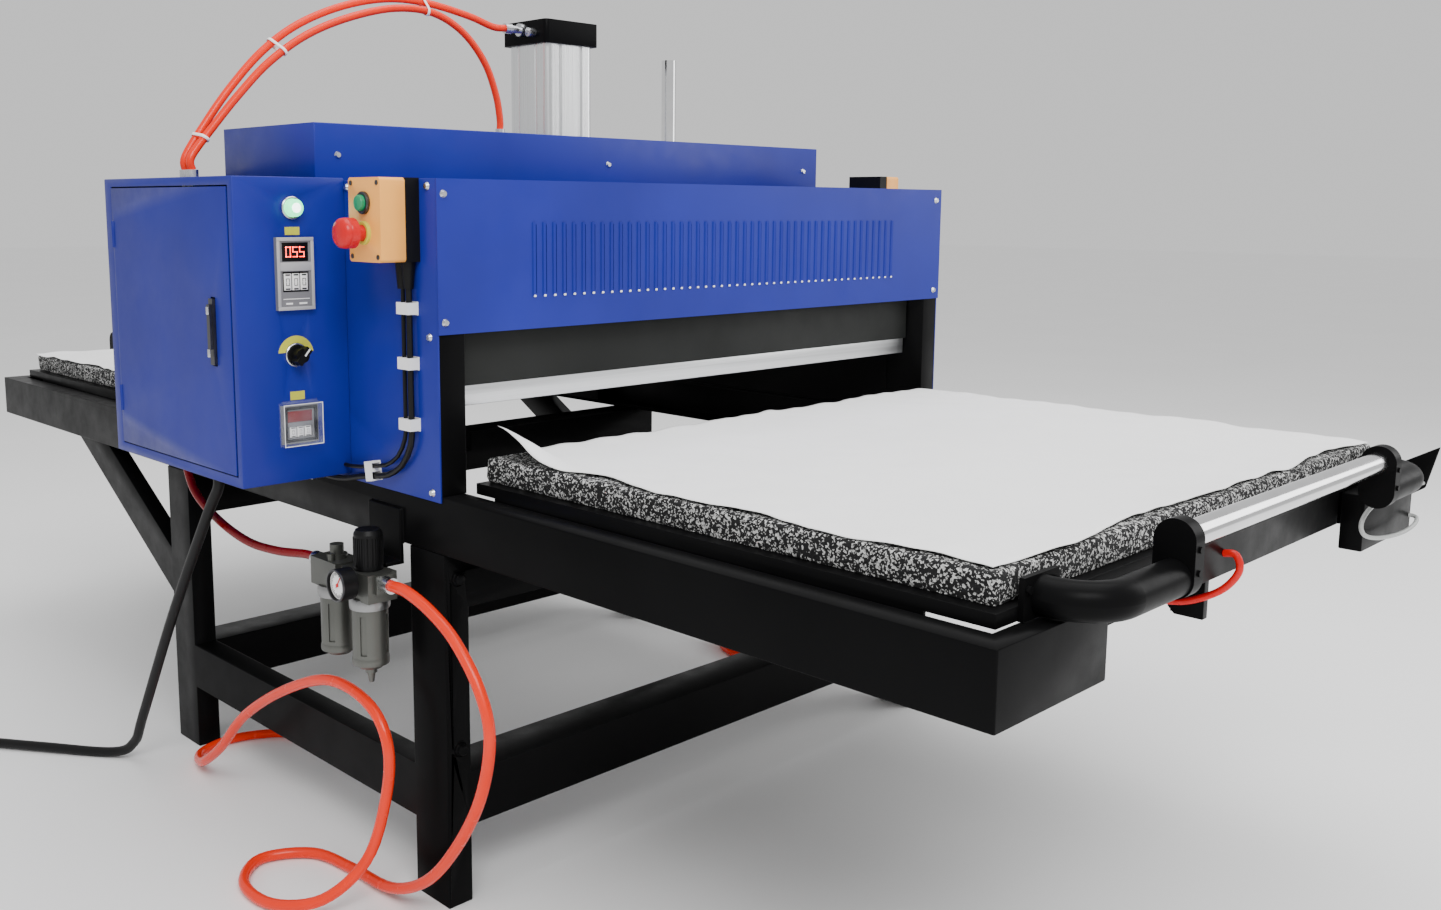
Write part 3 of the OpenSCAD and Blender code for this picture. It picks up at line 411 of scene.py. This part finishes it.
print("hoses and cables")
cordLook = {"steps": 6, "roundness": 5}
routes = {
    "supply": [(-620, -381.1, 467), (-620, -415, 467), (-615, -462, 450), (-612, -512, 421), (-610, -561, 368),
        (-610, -582, 307), (-610, -559, 219), (-610, -502, 130), (-612, -435, 60), (-614, -350, 18),
        (-616, -250, 9.8), (-634, -168, 9.8), (-700, -130, 9.8), (-752, -180, 9.8), (-752, -262, 11),
        (-712, -332, 30), (-660, -362, 80), (-634, -372, 160), (-630, -377, 238), (-630, -333, 288),
        (-630, -226, 296), (-630, -91, 244), (-630, 45, 164), (-628, 140, 80), (-620, 230, 24),
        (-590, 300, 9.8), (-520, 320, 9.8), (-440, 280, 9.8), (-380, 180, 9.8), (-340, 60, 9.8),
        (-325, -30, 9.8), (-270, -96, 9.8), (-150, -109, 9.8), (300, -109, 9.8), (520, -108, 9.8)],
    "link": [(-620, -178.9, 467), (-620, -150, 467), (-634, -90, 463), (-645, -20, 466), (-652, 60, 486),
        (-659, 122, 520), (-660, 149, 558), (-660, 150, 570), (-660, 150, 578.9)],
    "archA": [(-700, 18, 1027.1), (-700, 18, 1046), (-670, 17, 1092), (-628, 16, 1148), (-574, 16, 1206),
        (-512, 16, 1252), (-432, 16, 1288), (-349, 16, 1308), (-272, 16, 1309), (-191, 15, 1297),
        (-140, 15, 1284), (-114.1, 15, 1284)],
    "archB": [(-700, -2, 1027.1), (-700, -2, 1046), (-664, 0, 1090), (-620, 1, 1140), (-570, 1, 1190),
        (-505, 1, 1236), (-428, 1, 1270), (-345, 1, 1292), (-272, 1, 1292), (-212, 1, 1266), (-168, 1, 1220),
        (-145, 1, 1168), (-137, 1, 1128), (-137, 1, 1110.1)],
    "power": [(-670, 20, 570.9), (-670, 20, 548), (-674, 56, 496), (-682, 180, 310), (-682, 320, 100),
        (-682, 366, 36), (-704, 408, 11), (-780, 510, 10.6), (-868, 640, 10.6), (-895, 720, 10.6)],
    "table": [(-18, -1243.1, 572), (-18, -1258, 572), (-18, -1262, 552), (-18, -1240, 524), (-18, -1195, 502),
        (-18, -1150, 502), (-18, -1114, 530), (-18, -1104, 572), (-18, -1104, 601.9)],
    "sensor": [(569.9, -1288, 580), (548, -1288, 582), (500, -1289, 585), (440, -1290, 585), (380, -1290, 584),
               (330, -1290, 576), (308, -1290, 562), (322, -1290, 545), (370, -1290, 532), (440, -1290, 523),
               (500, -1290, 520), (540, -1290, 524), (558, -1287, 529), (562, -1281, 531), (562, -1275.1, 531)],
}
coils = {"supply": {"middle": (600, 0), "radius": 96, "gap": 16.3, "start": math.radians(-90), "tail": 14},
         "power": {"middle": (-1000, 760), "radius": 102, "gap": 17.3, "start": math.radians(0), "tail": 7}}
winding = {"steps": 28, "level": 0.8, "crossing": 0.2, "lift": 0.8}  # a turn keeps its lane, then crosses over


def smoothRoute(points):  # the same spline as the CAD routes follow
    ends = [points[0], *points, points[-1]]
    out = []
    for a, b, c, d in zip(ends, ends[1:], ends[2:], ends[3:]):
        for k in range(cordLook["steps"]):
            t = k / cordLook["steps"]
            out.append(0.5 * (2 * b + (c - a) * t + (2 * a - 5 * b + 4 * c - d) * t * t
                              + (3 * b - a - 3 * c + d) * t ** 3))
    out.append(points[-1])
    return out


def routeOf(name):
    return smoothRoute([at(*p) for p in routes[name]])


def coilTurns(middle, radius, gap, start, tail):  # four turns, two wide and two high, wound inwards then up
    points, steps = [], winding["steps"]
    lanes = [(radius + gap / 2, 0), (radius - gap / 2, 0), (radius - gap / 2, 1), (radius + gap / 2, 1)]
    for k in range(len(lanes) * steps + tail + 1):
        turn = k / steps
        lane = min(int(turn), len(lanes) - 1)
        blend = ease(min(max((turn - lane - winding["level"]) / winding["crossing"], 0), 1))
        here, after = lanes[lane], lanes[min(lane + 1, len(lanes) - 1)]
        r, level = [a + (b - a) * blend for a, b in zip(here, after)]
        angle = start + 2 * math.pi * turn
        points.append(at(middle[0] + r * math.cos(angle), middle[1] + r * math.sin(angle),
                         gap / 2 + winding["lift"] + level * gap))
    return points


def line(points):
    return sum((b - a).length for a, b in zip(points, points[1:]))


def hose(name, points, diameter, paint, nodeNames, body="machine"):
    curve = bpy.data.curves.new(name, "CURVE")
    curve.dimensions = "3D"
    curve.bevel_depth = diameter / 2
    curve.bevel_resolution = cordLook["roundness"]
    curve.use_fill_caps = True
    spline = curve.splines.new("POLY")
    spline.points.add(len(points) - 1)
    for point, place in zip(spline.points, points):
        point.co = (*place, 1)
    spline.use_smooth = True
    o = finish(bpy.data.objects.new(name, curve), paint, body)
    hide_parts(*nodeNames)
    line(points)


supply = routeOf("supply") + coilTurns(**coils["supply"])
power = routeOf("power") + coilTurns(**coils["power"])
hose("supplyHose", supply, 0.016, "hoseOrange", ["supply_hose", "supply_coil"])
hose("linkHose", routeOf("link"), 0.013, "hoseRed", ["link_hose"])
hose("archHoseA", routeOf("archA"), 0.012, "hoseOrange", ["arch_hose_a"])
hose("archHoseB", routeOf("archB"), 0.012, "hoseOrange", ["arch_hose_b"])
hose("powerCable", power, 0.017, "cableBlack", ["power_cable", "power_coil"])
hose("tableHose", routeOf("table"), 0.009, "hoseScarlet", ["table_hose"],
     body="front_table")
hose("sensorCable", routeOf("sensor"), 0.006, "cableGrey", ["sensor_cable"])

print("small details")
boxFace = {"x": -656, "y": -207, "outer": -742}
digit = {"wide": 0.56, "stroke": 0.13, "gap": 0.3, "raised": 0.3, "zero": "1110111", "five": "1101011"}


def addDigit(bm, pattern, x, z, size, y):  # top, upper left and right, middle, lower left and right, bottom
    w, h, t, gap = size * digit["wide"], size, size * digit["stroke"], digit["gap"]
    strokes = [((0, h - t), (w, h)), ((0, h / 2), (t, h)), ((w - t, h / 2), (w, h)),
               ((0, h / 2 - t / 2), (w, h / 2 + t / 2)), ((0, 0), (t, h / 2)), ((w - t, 0), (w, h / 2)),
               ((0, 0), (w, t))]
    for lit, (low, high) in zip(pattern, strokes):
        if lit == "1":
            addBoxAt(bm, (x + low[0] + gap, y - digit["raised"], z + low[1] + gap),
                     (x + high[0] - gap, y, z + high[1] - gap))


wheel = {"gap": 0.8, "front": 2.4, "back": 0.4, "round": 0.0006, "digitLeft": 0.13, "digitLow": 0.26,
         "digitHigh": 0.46, "marks": (0.04, 0.88), "markHalf": 0.28, "markFront": 2.8, "markHigh": 0.08}


def wheels(name, x, y, z, count, pitch, high):  # white number wheels in a dark window
    left = x - count * pitch / 2
    bm = bmesh.new()
    for i in range(count):
        addBoxAt(bm, (left + i * pitch + wheel["gap"], y - wheel["front"], z),
                 (left + (i + 1) * pitch - wheel["gap"], y - wheel["back"], z + high), wheel["round"])
    fromMesh(name, bm, "plasticWhite")
    bm = bmesh.new()
    for i in range(count):
        mid = left + (i + 0.5) * pitch
        addDigit(bm, digit["zero"], mid - high * wheel["digitLeft"], z + high * wheel["digitLow"],
                 high * wheel["digitHigh"], y - wheel["front"])
        for s in wheel["marks"]:
            addBoxAt(bm, (mid - pitch * wheel["markHalf"], y - wheel["markFront"], z + high * s),
                     (mid + pitch * wheel["markHalf"], y - wheel["front"], z + high * (s + wheel["markHigh"])))
    fromMesh(name + "Marks", bm, "plasticBlack", smooth=False)


controller = {
    "rim": {"front": 8.4, "back": 7.0, "radius": 0.0005,
            "plates": [(-28, 833, 28, 838), (-28, 928, 28, 933), (-28, 838, -23.5, 928),
                       (23.5, 838, 28, 928), (-23.5, 887, 23.5, 899)]},
    "display": {"front": 6.6, "back": 4.1, "radius": 0.0008, "plates": [(-19.8, 900.2, 19.8, 925.8)]},
    "well": {"front": 4.6, "back": 4.05, "plates": [(-19.8, 858.2, 19.8, 885.8)]},
    "keys": {"front": 7.5, "back": 7.0, "plates": [(-17, 890.5, -11, 892), (11, 890.5, 17, 892)]},
    "lines": {"front": 7.4, "back": 7.0,
              "plates": [(-20, 848, 20, 849), (-16, 841, -6, 843.4), (4, 841, 16, 843.4)]},
    "digits": (("zero", -14.5), ("five", -4.2), ("five", 6.1)), "digitLow": 905.5, "digitSize": 15,
    "wheels": {"z": 860.5, "count": 3, "pitch": 12.4, "high": 23}}


def makeController():
    x, y = boxFace["x"], boxFace["y"]
    bm = bmesh.new()  # silver bezel with a raised rim
    addPlates(bm, x, y, **controller["rim"])
    fromMesh("controllerRim", bm, "plasticSilver")
    bm = bmesh.new()
    addPlates(bm, x, y, **controller["display"])
    addPlates(bm, x, y, **controller["well"])
    fromMesh("controllerWindow", bm, "plasticBlack")
    bm = bmesh.new()
    for shape, place in controller["digits"]:
        addDigit(bm, digit[shape], x + place, controller["digitLow"], controller["digitSize"],
                 y - controller["display"]["front"])
    fromMesh("controllerDigits", bm, "digitRed", smooth=False)
    wheels("controllerWheels", x, y - controller["well"]["front"], **controller["wheels"])
    bm = bmesh.new()
    addPlates(bm, x, y, **controller["keys"])
    addPlates(bm, x, y, **controller["lines"])
    fromMesh("controllerMarks", bm, "plasticWhite", smooth=False)


timer = {
    "right": 1,
    "window": {"front": 3.6, "back": 2.1, "radius": 0.0004, "plates": [(-18.8, 676.3, 18.8, 691.7)]},
    "cover": {"front": 14.1, "back": 13.4,
              "plates": [(-29.6, 643.4, -28.6, 702.6), (29.6, 643.4, 30.6, 702.6), (-28.6, 643.4, 29.6, 644.4),
                         (-28.6, 701.6, 29.6, 702.6)]},
    "face": {"front": 4.5, "back": 4.02,
             "plates": [(-25, 648, 27, 652.5), (-25, 693.5, 27, 698), (-25, 652.5, -19.2, 693.5),
                        (21.2, 652.5, 27, 693.5)]},
    "wheels": {"z": 655, "count": 3, "pitch": 11.4, "high": 14.4}}


def makeTimer():
    x, y = boxFace["x"] + timer["right"], boxFace["y"]
    for part, name, paint, body in (("window", "timerWindow", "hoseRed", "machine"),
                                    ("cover", "coverRim", "plasticWhite", "meter_cover"),
                                    ("face", "timerFace", "plasticBlack", "machine")):
        bm = bmesh.new()
        addPlates(bm, x, y, **timer[part])
        fromMesh(name, bm, paint, body)
    wheels("timerWheels", x, y - timer["window"]["back"], **timer["wheels"])


lamp = {"z": 973, "parts": (
    ("lampBezel", "steelBright", [(15.6, 0), (15.6, 3.2), (14.4, 4.2), (12.6, 4.2)]),
    ("lampLens", "lampGreen", [(12.3, 3.4), (12.3, 11.6), (11.4, 13.4), (8.6, 14.6), (4.4, 15.2), (0, 15.4)]),
    ("lampCore", "lampCore", [(6.8, 15.2), (4.6, 15.8), (0, 16.0)]))}


def makeLamp():
    for name, paint, profile in lamp["parts"]:
        disc(name, profile, (boxFace["x"], boxFace["y"], lamp["z"]), "-Y", paint)


selector = {"z": 770, "ring": [(16.6, 0.2), (16.6, 2.4), (15.6, 3.2), (14.8, 3.2)], "turn": 40, "front": 25.2,
            "pointer": (2.2, 0.8, 12), "up": 6.4}


def makeSelector():
    x, y, z = boxFace["x"], boxFace["y"], selector["z"]
    disc("selectorRing", selector["ring"], (x, y, z), "-Y", "steelBright")
    bm = bmesh.new()
    addTurned(bm, at(x, y - selector["front"], z), "Y", math.radians(selector["turn"]), selector["pointer"],
              (0, 0, selector["up"]))
    fromMesh("selectorPointer", bm, "plasticWhite", "selector", False)


station = {
    "sides": {"left": (-1, (-573, -356, 903), "-X"), "right": (1, (573, -252, 929), "X")}, "half": 60,
    "parts": (
        ("StartBezel", 77, "steelDark", "machine", [(14.9, 0), (14.9, 3.6), (13.6, 4.8), (11.0, 4.8)]),
        ("StopBezel", 38, "labelYellow", "machine", [(15.4, 0), (15.4, 3.6), (14.2, 4.6), (11.0, 4.6)]),
        ("StartCap", 77, "plasticGreen", "start_{}", [(10.2, 9.1), (9.4, 10.2), (6.0, 10.9), (0, 11.1)]),
        ("StopCap", 38, "plasticRed", "stop_{}",
         [(20.0, 30.2), (19.2, 35.4), (16.4, 38.4), (9.0, 40.2), (0, 40.7)])),
    "screw": [(3.3, 0), (3.3, 0.9), (2.2, 1.3), (0, 1.3)], "screwY": (-31, 31), "screwZ": (7, 103),
    "screwSteps": 20}


def makeStations():
    for hand, (side, (x, y, z), axis) in station["sides"].items():
        face = x + side * station["half"]
        for name, up, paint, body, profile in station["parts"]:
            disc(hand + name, profile, (face, y, z + up), axis, paint, body.format(hand))
        bm = bmesh.new()
        for dy in station["screwY"]:
            for dz in station["screwZ"]:
                addLathe(bm, station["screw"], at(face, y + dy, z + dz), axis, station["screwSteps"])
        fromMesh(hand + "StationScrews", bm, "steelDark")


latch = {"back": 66, "half": 3.6, "front": 10.4, "rear": 9.0, "z": 757, "length": 92, "round": 0.0006,
         "inlays": ((0.12, 0.24), (0.76, 0.88))}


def makeLatch():
    x, y, half = boxFace["outer"], boxFace["y"] + latch["back"], latch["half"]
    bm = bmesh.new()
    for low, high in latch["inlays"]:
        addBoxAt(bm, (x - latch["front"], y - half, latch["z"] + latch["length"] * low),
                 (x - latch["rear"], y + half, latch["z"] + latch["length"] * high), latch["round"])
    fromMesh("latchInlay", bm, "steelBright", "latch")


gauge = {"place": (-673, -323, 466), "dial": [(19.2, 3.9), (0, 3.85)],
         "rim": [(22.6, 1.5), (22.6, -0.4), (21.8, -0.9), (20.2, -0.9), (19.5, 3.8)], "face": 3.7, "ticks": 28,
         "first": -225, "step": 10, "longEach": 3, "outer": 17.6, "inner": 14.2, "longInner": 12.4,
         "tickDeep": 0.3, "tickWide": 0.7}


def makeGauge():
    x, y, z = gauge["place"]
    disc("gaugeDial", gauge["dial"], (x, y, z), "X", "plasticWhite")
    disc("gaugeRim", gauge["rim"], (x, y, z), "X", "steelDark")
    bm = bmesh.new()
    for k in range(gauge["ticks"]):
        outer, inner = gauge["outer"], gauge["inner"] if k % gauge["longEach"] else gauge["longInner"]
        addTurned(bm, at(x + gauge["face"], y, z), "X", math.radians(gauge["first"] + k * gauge["step"]),
                  (gauge["tickDeep"], gauge["tickWide"], outer - inner), (0, 0, (outer + inner) / 2))
    fromMesh("gaugeTicks", bm, "plasticBlack", smooth=False)


airUnit = {"x": -620, "y": (-323, -239), "collar": [(27.6, 426), (28.4, 430), (28.4, 439), (27.0, 442)],
           "ring": [(25.3, 346), (25.9, 349), (25.9, 353), (25.3, 356)], "knobZ": 506, "ribs": 36,
           "rib": (1.6, 1.5, 40), "ribOut": 20.0}


def makeAirUnit():
    for i, y in enumerate(airUnit["y"]):
        disc("bowlCollar%d" % i, airUnit["collar"], (airUnit["x"], y, 0), "Z", "castBright")
        disc("bowlRing%d" % i, airUnit["ring"], (airUnit["x"], y, 0), "Z", "castZinc")
    bm = bmesh.new()
    for k in range(airUnit["ribs"]):
        addTurned(bm, at(airUnit["x"], airUnit["y"][0], airUnit["knobZ"]), "Z", 2 * math.pi * k / airUnit["ribs"],
                  airUnit["rib"], (airUnit["ribOut"], 0, 0))
    fromMesh("knobRibs", bm, "plasticBlack", "regulator")


ties = {"places": (10, 26, 47), "radius": 0.0070, "half": 0.0022, "sides": 28, "thickness": 0.0009}


def makeTies():  # white ties that hold the two top hoses together
    a, b = routeOf("archA"), routeOf("archB")
    radius, sides = ties["radius"], ties["sides"]
    angles = [2 * math.pi * (q + 0.5) / sides for q in range(sides)]
    bm = bmesh.new()
    for k in ties["places"]:
        middle, half = (a[k] + b[k]) / 2, (a[k] - b[k]) / 2
        ahead = (a[k + 1] - a[k - 1]).normalized()
        thin = ahead.cross(half.normalized()).normalized()
        wide = thin.cross(ahead).normalized()
        shape = [wide * (math.copysign(half.length, math.cos(t)) + radius * math.cos(t))
                 + thin * radius * math.sin(t) for t in angles]
        rings = [[bm.verts.new(middle + ahead * along + point) for point in shape]
                 for along in (-ties["half"], ties["half"])]
        for q in range(sides):
            n = (q + 1) % sides
            bm.faces.new((rings[0][q], rings[0][n], rings[1][n], rings[1][q]))
    band = fromMesh("hoseTies", bm, "plasticWhite").modifiers.new("thickness", "SOLIDIFY")
    band.thickness, band.offset = ties["thickness"], 1


louvres = {"count": 47, "first": -412, "reach": 830, "half": 2.0, "outer": -435.6, "inner": -433.4, "low": 852,
           "high": 855, "round": 0.0006}


def makeLouvreHighlights():  # white strips at the foot of each slot: a painted highlight where light catches the louvre's lower lip
    bm = bmesh.new()
    for turn in (1, -1):
        for i in range(louvres["count"]):
            x = louvres["first"] + i * louvres["reach"] / (louvres["count"] - 1)
            xs = sorted((turn * (x - louvres["half"]), turn * (x + louvres["half"])))
            ys = sorted((turn * louvres["outer"], turn * louvres["inner"]))
            addBoxAt(bm, (xs[0], ys[0], louvres["low"]), (xs[1], ys[1], louvres["high"]), louvres["round"], 1)
    # painted highlight, made in white plastic
    fromMesh("louvreHighlightStrips", bm, "plasticWhite")


makeController()
makeTimer()
makeLamp()
makeSelector()
makeStations()
makeLatch()
makeGauge()
makeAirUnit()
makeTies()
makeLouvreHighlights()

print("sheets and pads")
table = {"padX": 510, "yNear": -1235, "yFar": -445, "padLow": 606, "padTop": 639}
sheet = {
    "across": 150, "along": 120, "thickness": 0.0008,
    "left": {"place": -498, "wander": (16, 6), "scallop": (6, 19, 0)},
    "right": {"place": 505, "wander": (14, 7), "scallop": (0, 0, 0)},
    "near": {"place": -1224, "wander": (15, 6), "scallop": (5, 23, 1)},
    "far": {"place": -452, "wander": (10, 5), "scallop": (0, 0, 0)},
    "lift": 1.2, "least": 0.8, "bulge": 2.2, "bulgeSize": 90, "frill": 3.5, "frillBand": 0.12,
    "frillShare": 0.5, "frillSize": 45, "frillSeed": 5.0,
    "curlAt": (-500, -455), "curlReach": (70, 150), "curlHigh": 40, "seedStep": 7.3, "waveRow": 1.7}


def wave(seed, t, amount, scale):  # a smooth wander along an edge, the same each run
    return amount * noise.noise(Vector((t * scale, seed * sheet["seedStep"], sheet["waveRow"])))


def edgeAt(side, seed, t):
    high, rate, phase = sheet[side]["scallop"]
    return sheet[side]["place"] + wave(seed, t, *sheet[side]["wander"]) + high * math.sin(t * rate + phase)


def liftAt(x, y, edge, seed):  # how far the sheet stands off the pad; edge is the distance to the border
    bulge, frill = sheet["bulgeSize"], sheet["frillSize"]
    lift = sheet["lift"] + sheet["bulge"] * abs(noise.noise(Vector((x / bulge, y / bulge, seed))))
    border = sheet["frill"] * max(0, sheet["frillBand"] - edge) / sheet["frillBand"]
    ripple = noise.noise(Vector((x / frill, y / frill, seed + sheet["frillSeed"])))
    lift += border * (sheet["frillShare"] + ripple)
    (curlX, curlY), (reachX, reachY) = sheet["curlAt"], sheet["curlReach"]
    curl = max(0, 1 - math.hypot((x - curlX) / reachX, (y - curlY) / reachY))  # the back corner turns up
    return max(lift + sheet["curlHigh"] * ease(curl), sheet["least"])


def makeSheet(name, node, body, seed, mirror):
    across, along = sheet["across"], sheet["along"]
    bm = bmesh.new()
    grid = []
    for i in range(across + 1):
        row = []
        u = i / across
        for j in range(along + 1):
            v = j / along
            left, right = edgeAt("left", seed, v), edgeAt("right", seed + 1, v)
            near, far = edgeAt("near", seed + 2, u), edgeAt("far", seed + 3, u)
            x, y = left + (right - left) * u, near + (far - near) * v
            z = table["padTop"] + liftAt(x, y, min(u, 1 - u, v, 1 - v) * 2, seed)
            row.append(bm.verts.new(at(-x, -y, z) if mirror else at(x, y, z)))
        grid.append(row)
    for i in range(across):
        for j in range(along):
            bm.faces.new((grid[i][j], grid[i + 1][j], grid[i + 1][j + 1], grid[i][j + 1]))
    o = fromMesh(name, bm, "sheetWeave", body)
    thick = o.modifiers.new("thickness", "SOLIDIFY")
    thick.thickness, thick.offset = sheet["thickness"], 0
    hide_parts(node)
    tuple(at(0, 0, table["padTop"]))
    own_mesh(o)


pad = {"round": 0.006, "roundSteps": 3, "longEdge": 0.05, "cuts": 110, "fine": (160, 0.0012),
       "coarse": (25, 0.0016), "foot": 0.003, "rim": 0.01, "inset": 0.0014}


def outward(value, low, high):  # 1 or -1 close to an end of the range, and 0 between
    return 1 if value > high - pad["rim"] else -1 if value < low + pad["rim"] else 0


def makePad(name, node, body, seed, mirror):
    near, far = (-table["yFar"], -table["yNear"]) if mirror else (table["yNear"], table["yFar"])
    low, high = at(-table["padX"], near, table["padLow"]), at(table["padX"], far, table["padTop"])
    (fine, fineHigh), (coarse, coarseHigh) = pad["fine"], pad["coarse"]
    bm = bmesh.new()
    addBlock(bm, low, high, pad["round"], pad["roundSteps"])
    long = [e for e in bm.edges if e.calc_length() > pad["longEdge"]]
    bmesh.ops.subdivide_edges(bm, edges=long, cuts=pad["cuts"], use_grid_fill=True)
    for v in bm.verts:
        rough = (noise.noise(v.co * fine + Vector((seed, 0, 0))) * fineHigh
                 + noise.noise(v.co * coarse) * coarseHigh)
        if v.co.z > low.z + pad["foot"]:
            side = Vector((outward(v.co.x, low.x, high.x), outward(v.co.y, low.y, high.y), 0))
            v.co += side * (rough - pad["inset"])
    o = fromMesh(name, bm, "rebondFoam", body)
    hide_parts(node)


makeSheet("frontSheet", "front_sheet", "front_table", 3, False)
makeSheet("rearSheet", "rear_sheet", "rear_table", 8, True)
makePad("frontPad", "front_pad", "front_table", 0, False)
makePad("rearPad", "rear_pad", "rear_table", 4, True)

print("lights and floor")
stage = {"floorSize": 30, "floorRough": 0.9, "tone": (1.5, 2), "dark": (0.95, 0.95, 0.95),
         "pale": (0.97, 0.97, 0.97), "sky": (1.0, 1.0, 1.0, 1), "skyPower": 0.8}
lights = {"keyLight": {"place": (-2.2, -3.2, 3.6), "aim": (0, 0, 0.7), "size": (2.6, 1.6), "power": 150},
          "topLight": {"place": (0.4, -0.6, 4.0), "aim": (0, 0, 0.6), "size": (3.2, 3.2), "power": 110},
          "sideLight": {"place": (3.4, -2.6, 2.2), "aim": (0.2, -0.4, 0.7), "size": (1.6, 2.4), "power": 45}}


def makeStage():
    bm = bmesh.new()
    bmesh.ops.create_grid(bm, x_segments=2, y_segments=2, size=stage["floorSize"])
    data = bpy.data.meshes.new("floor")
    bm.to_mesh(data)
    bm.free()
    floor = bpy.data.objects.new("floor", data)
    bpy.context.scene.collection.objects.link(floor)
    p = Paint("floorPale", Roughness=stage["floorRough"])
    p.into("Base Color", p.mix(p.spread(p.noise(*stage["tone"])), stage["dark"], stage["pale"]))
    floor.data.materials.append(p.material)
    world = bpy.data.worlds.new("studio")
    world.use_nodes = True
    background = world.node_tree.nodes["Background"]
    background.inputs[0].default_value = stage["sky"]
    background.inputs[1].default_value = stage["skyPower"]
    bpy.context.scene.world = world


def softbox(name, place, aim, size, power):
    data = bpy.data.lights.new(name, "AREA")
    data.shape, data.size, data.size_y = "RECTANGLE", size[0], size[1]
    data.energy = power
    o = bpy.data.objects.new(name, data)
    bpy.context.scene.collection.objects.link(o)
    o.location = place
    o.rotation_euler = (Vector(aim) - Vector(place)).to_track_quat("-Z", "Y").to_euler()


makeStage()
for name, light in lights.items():
    softbox(name, **light)
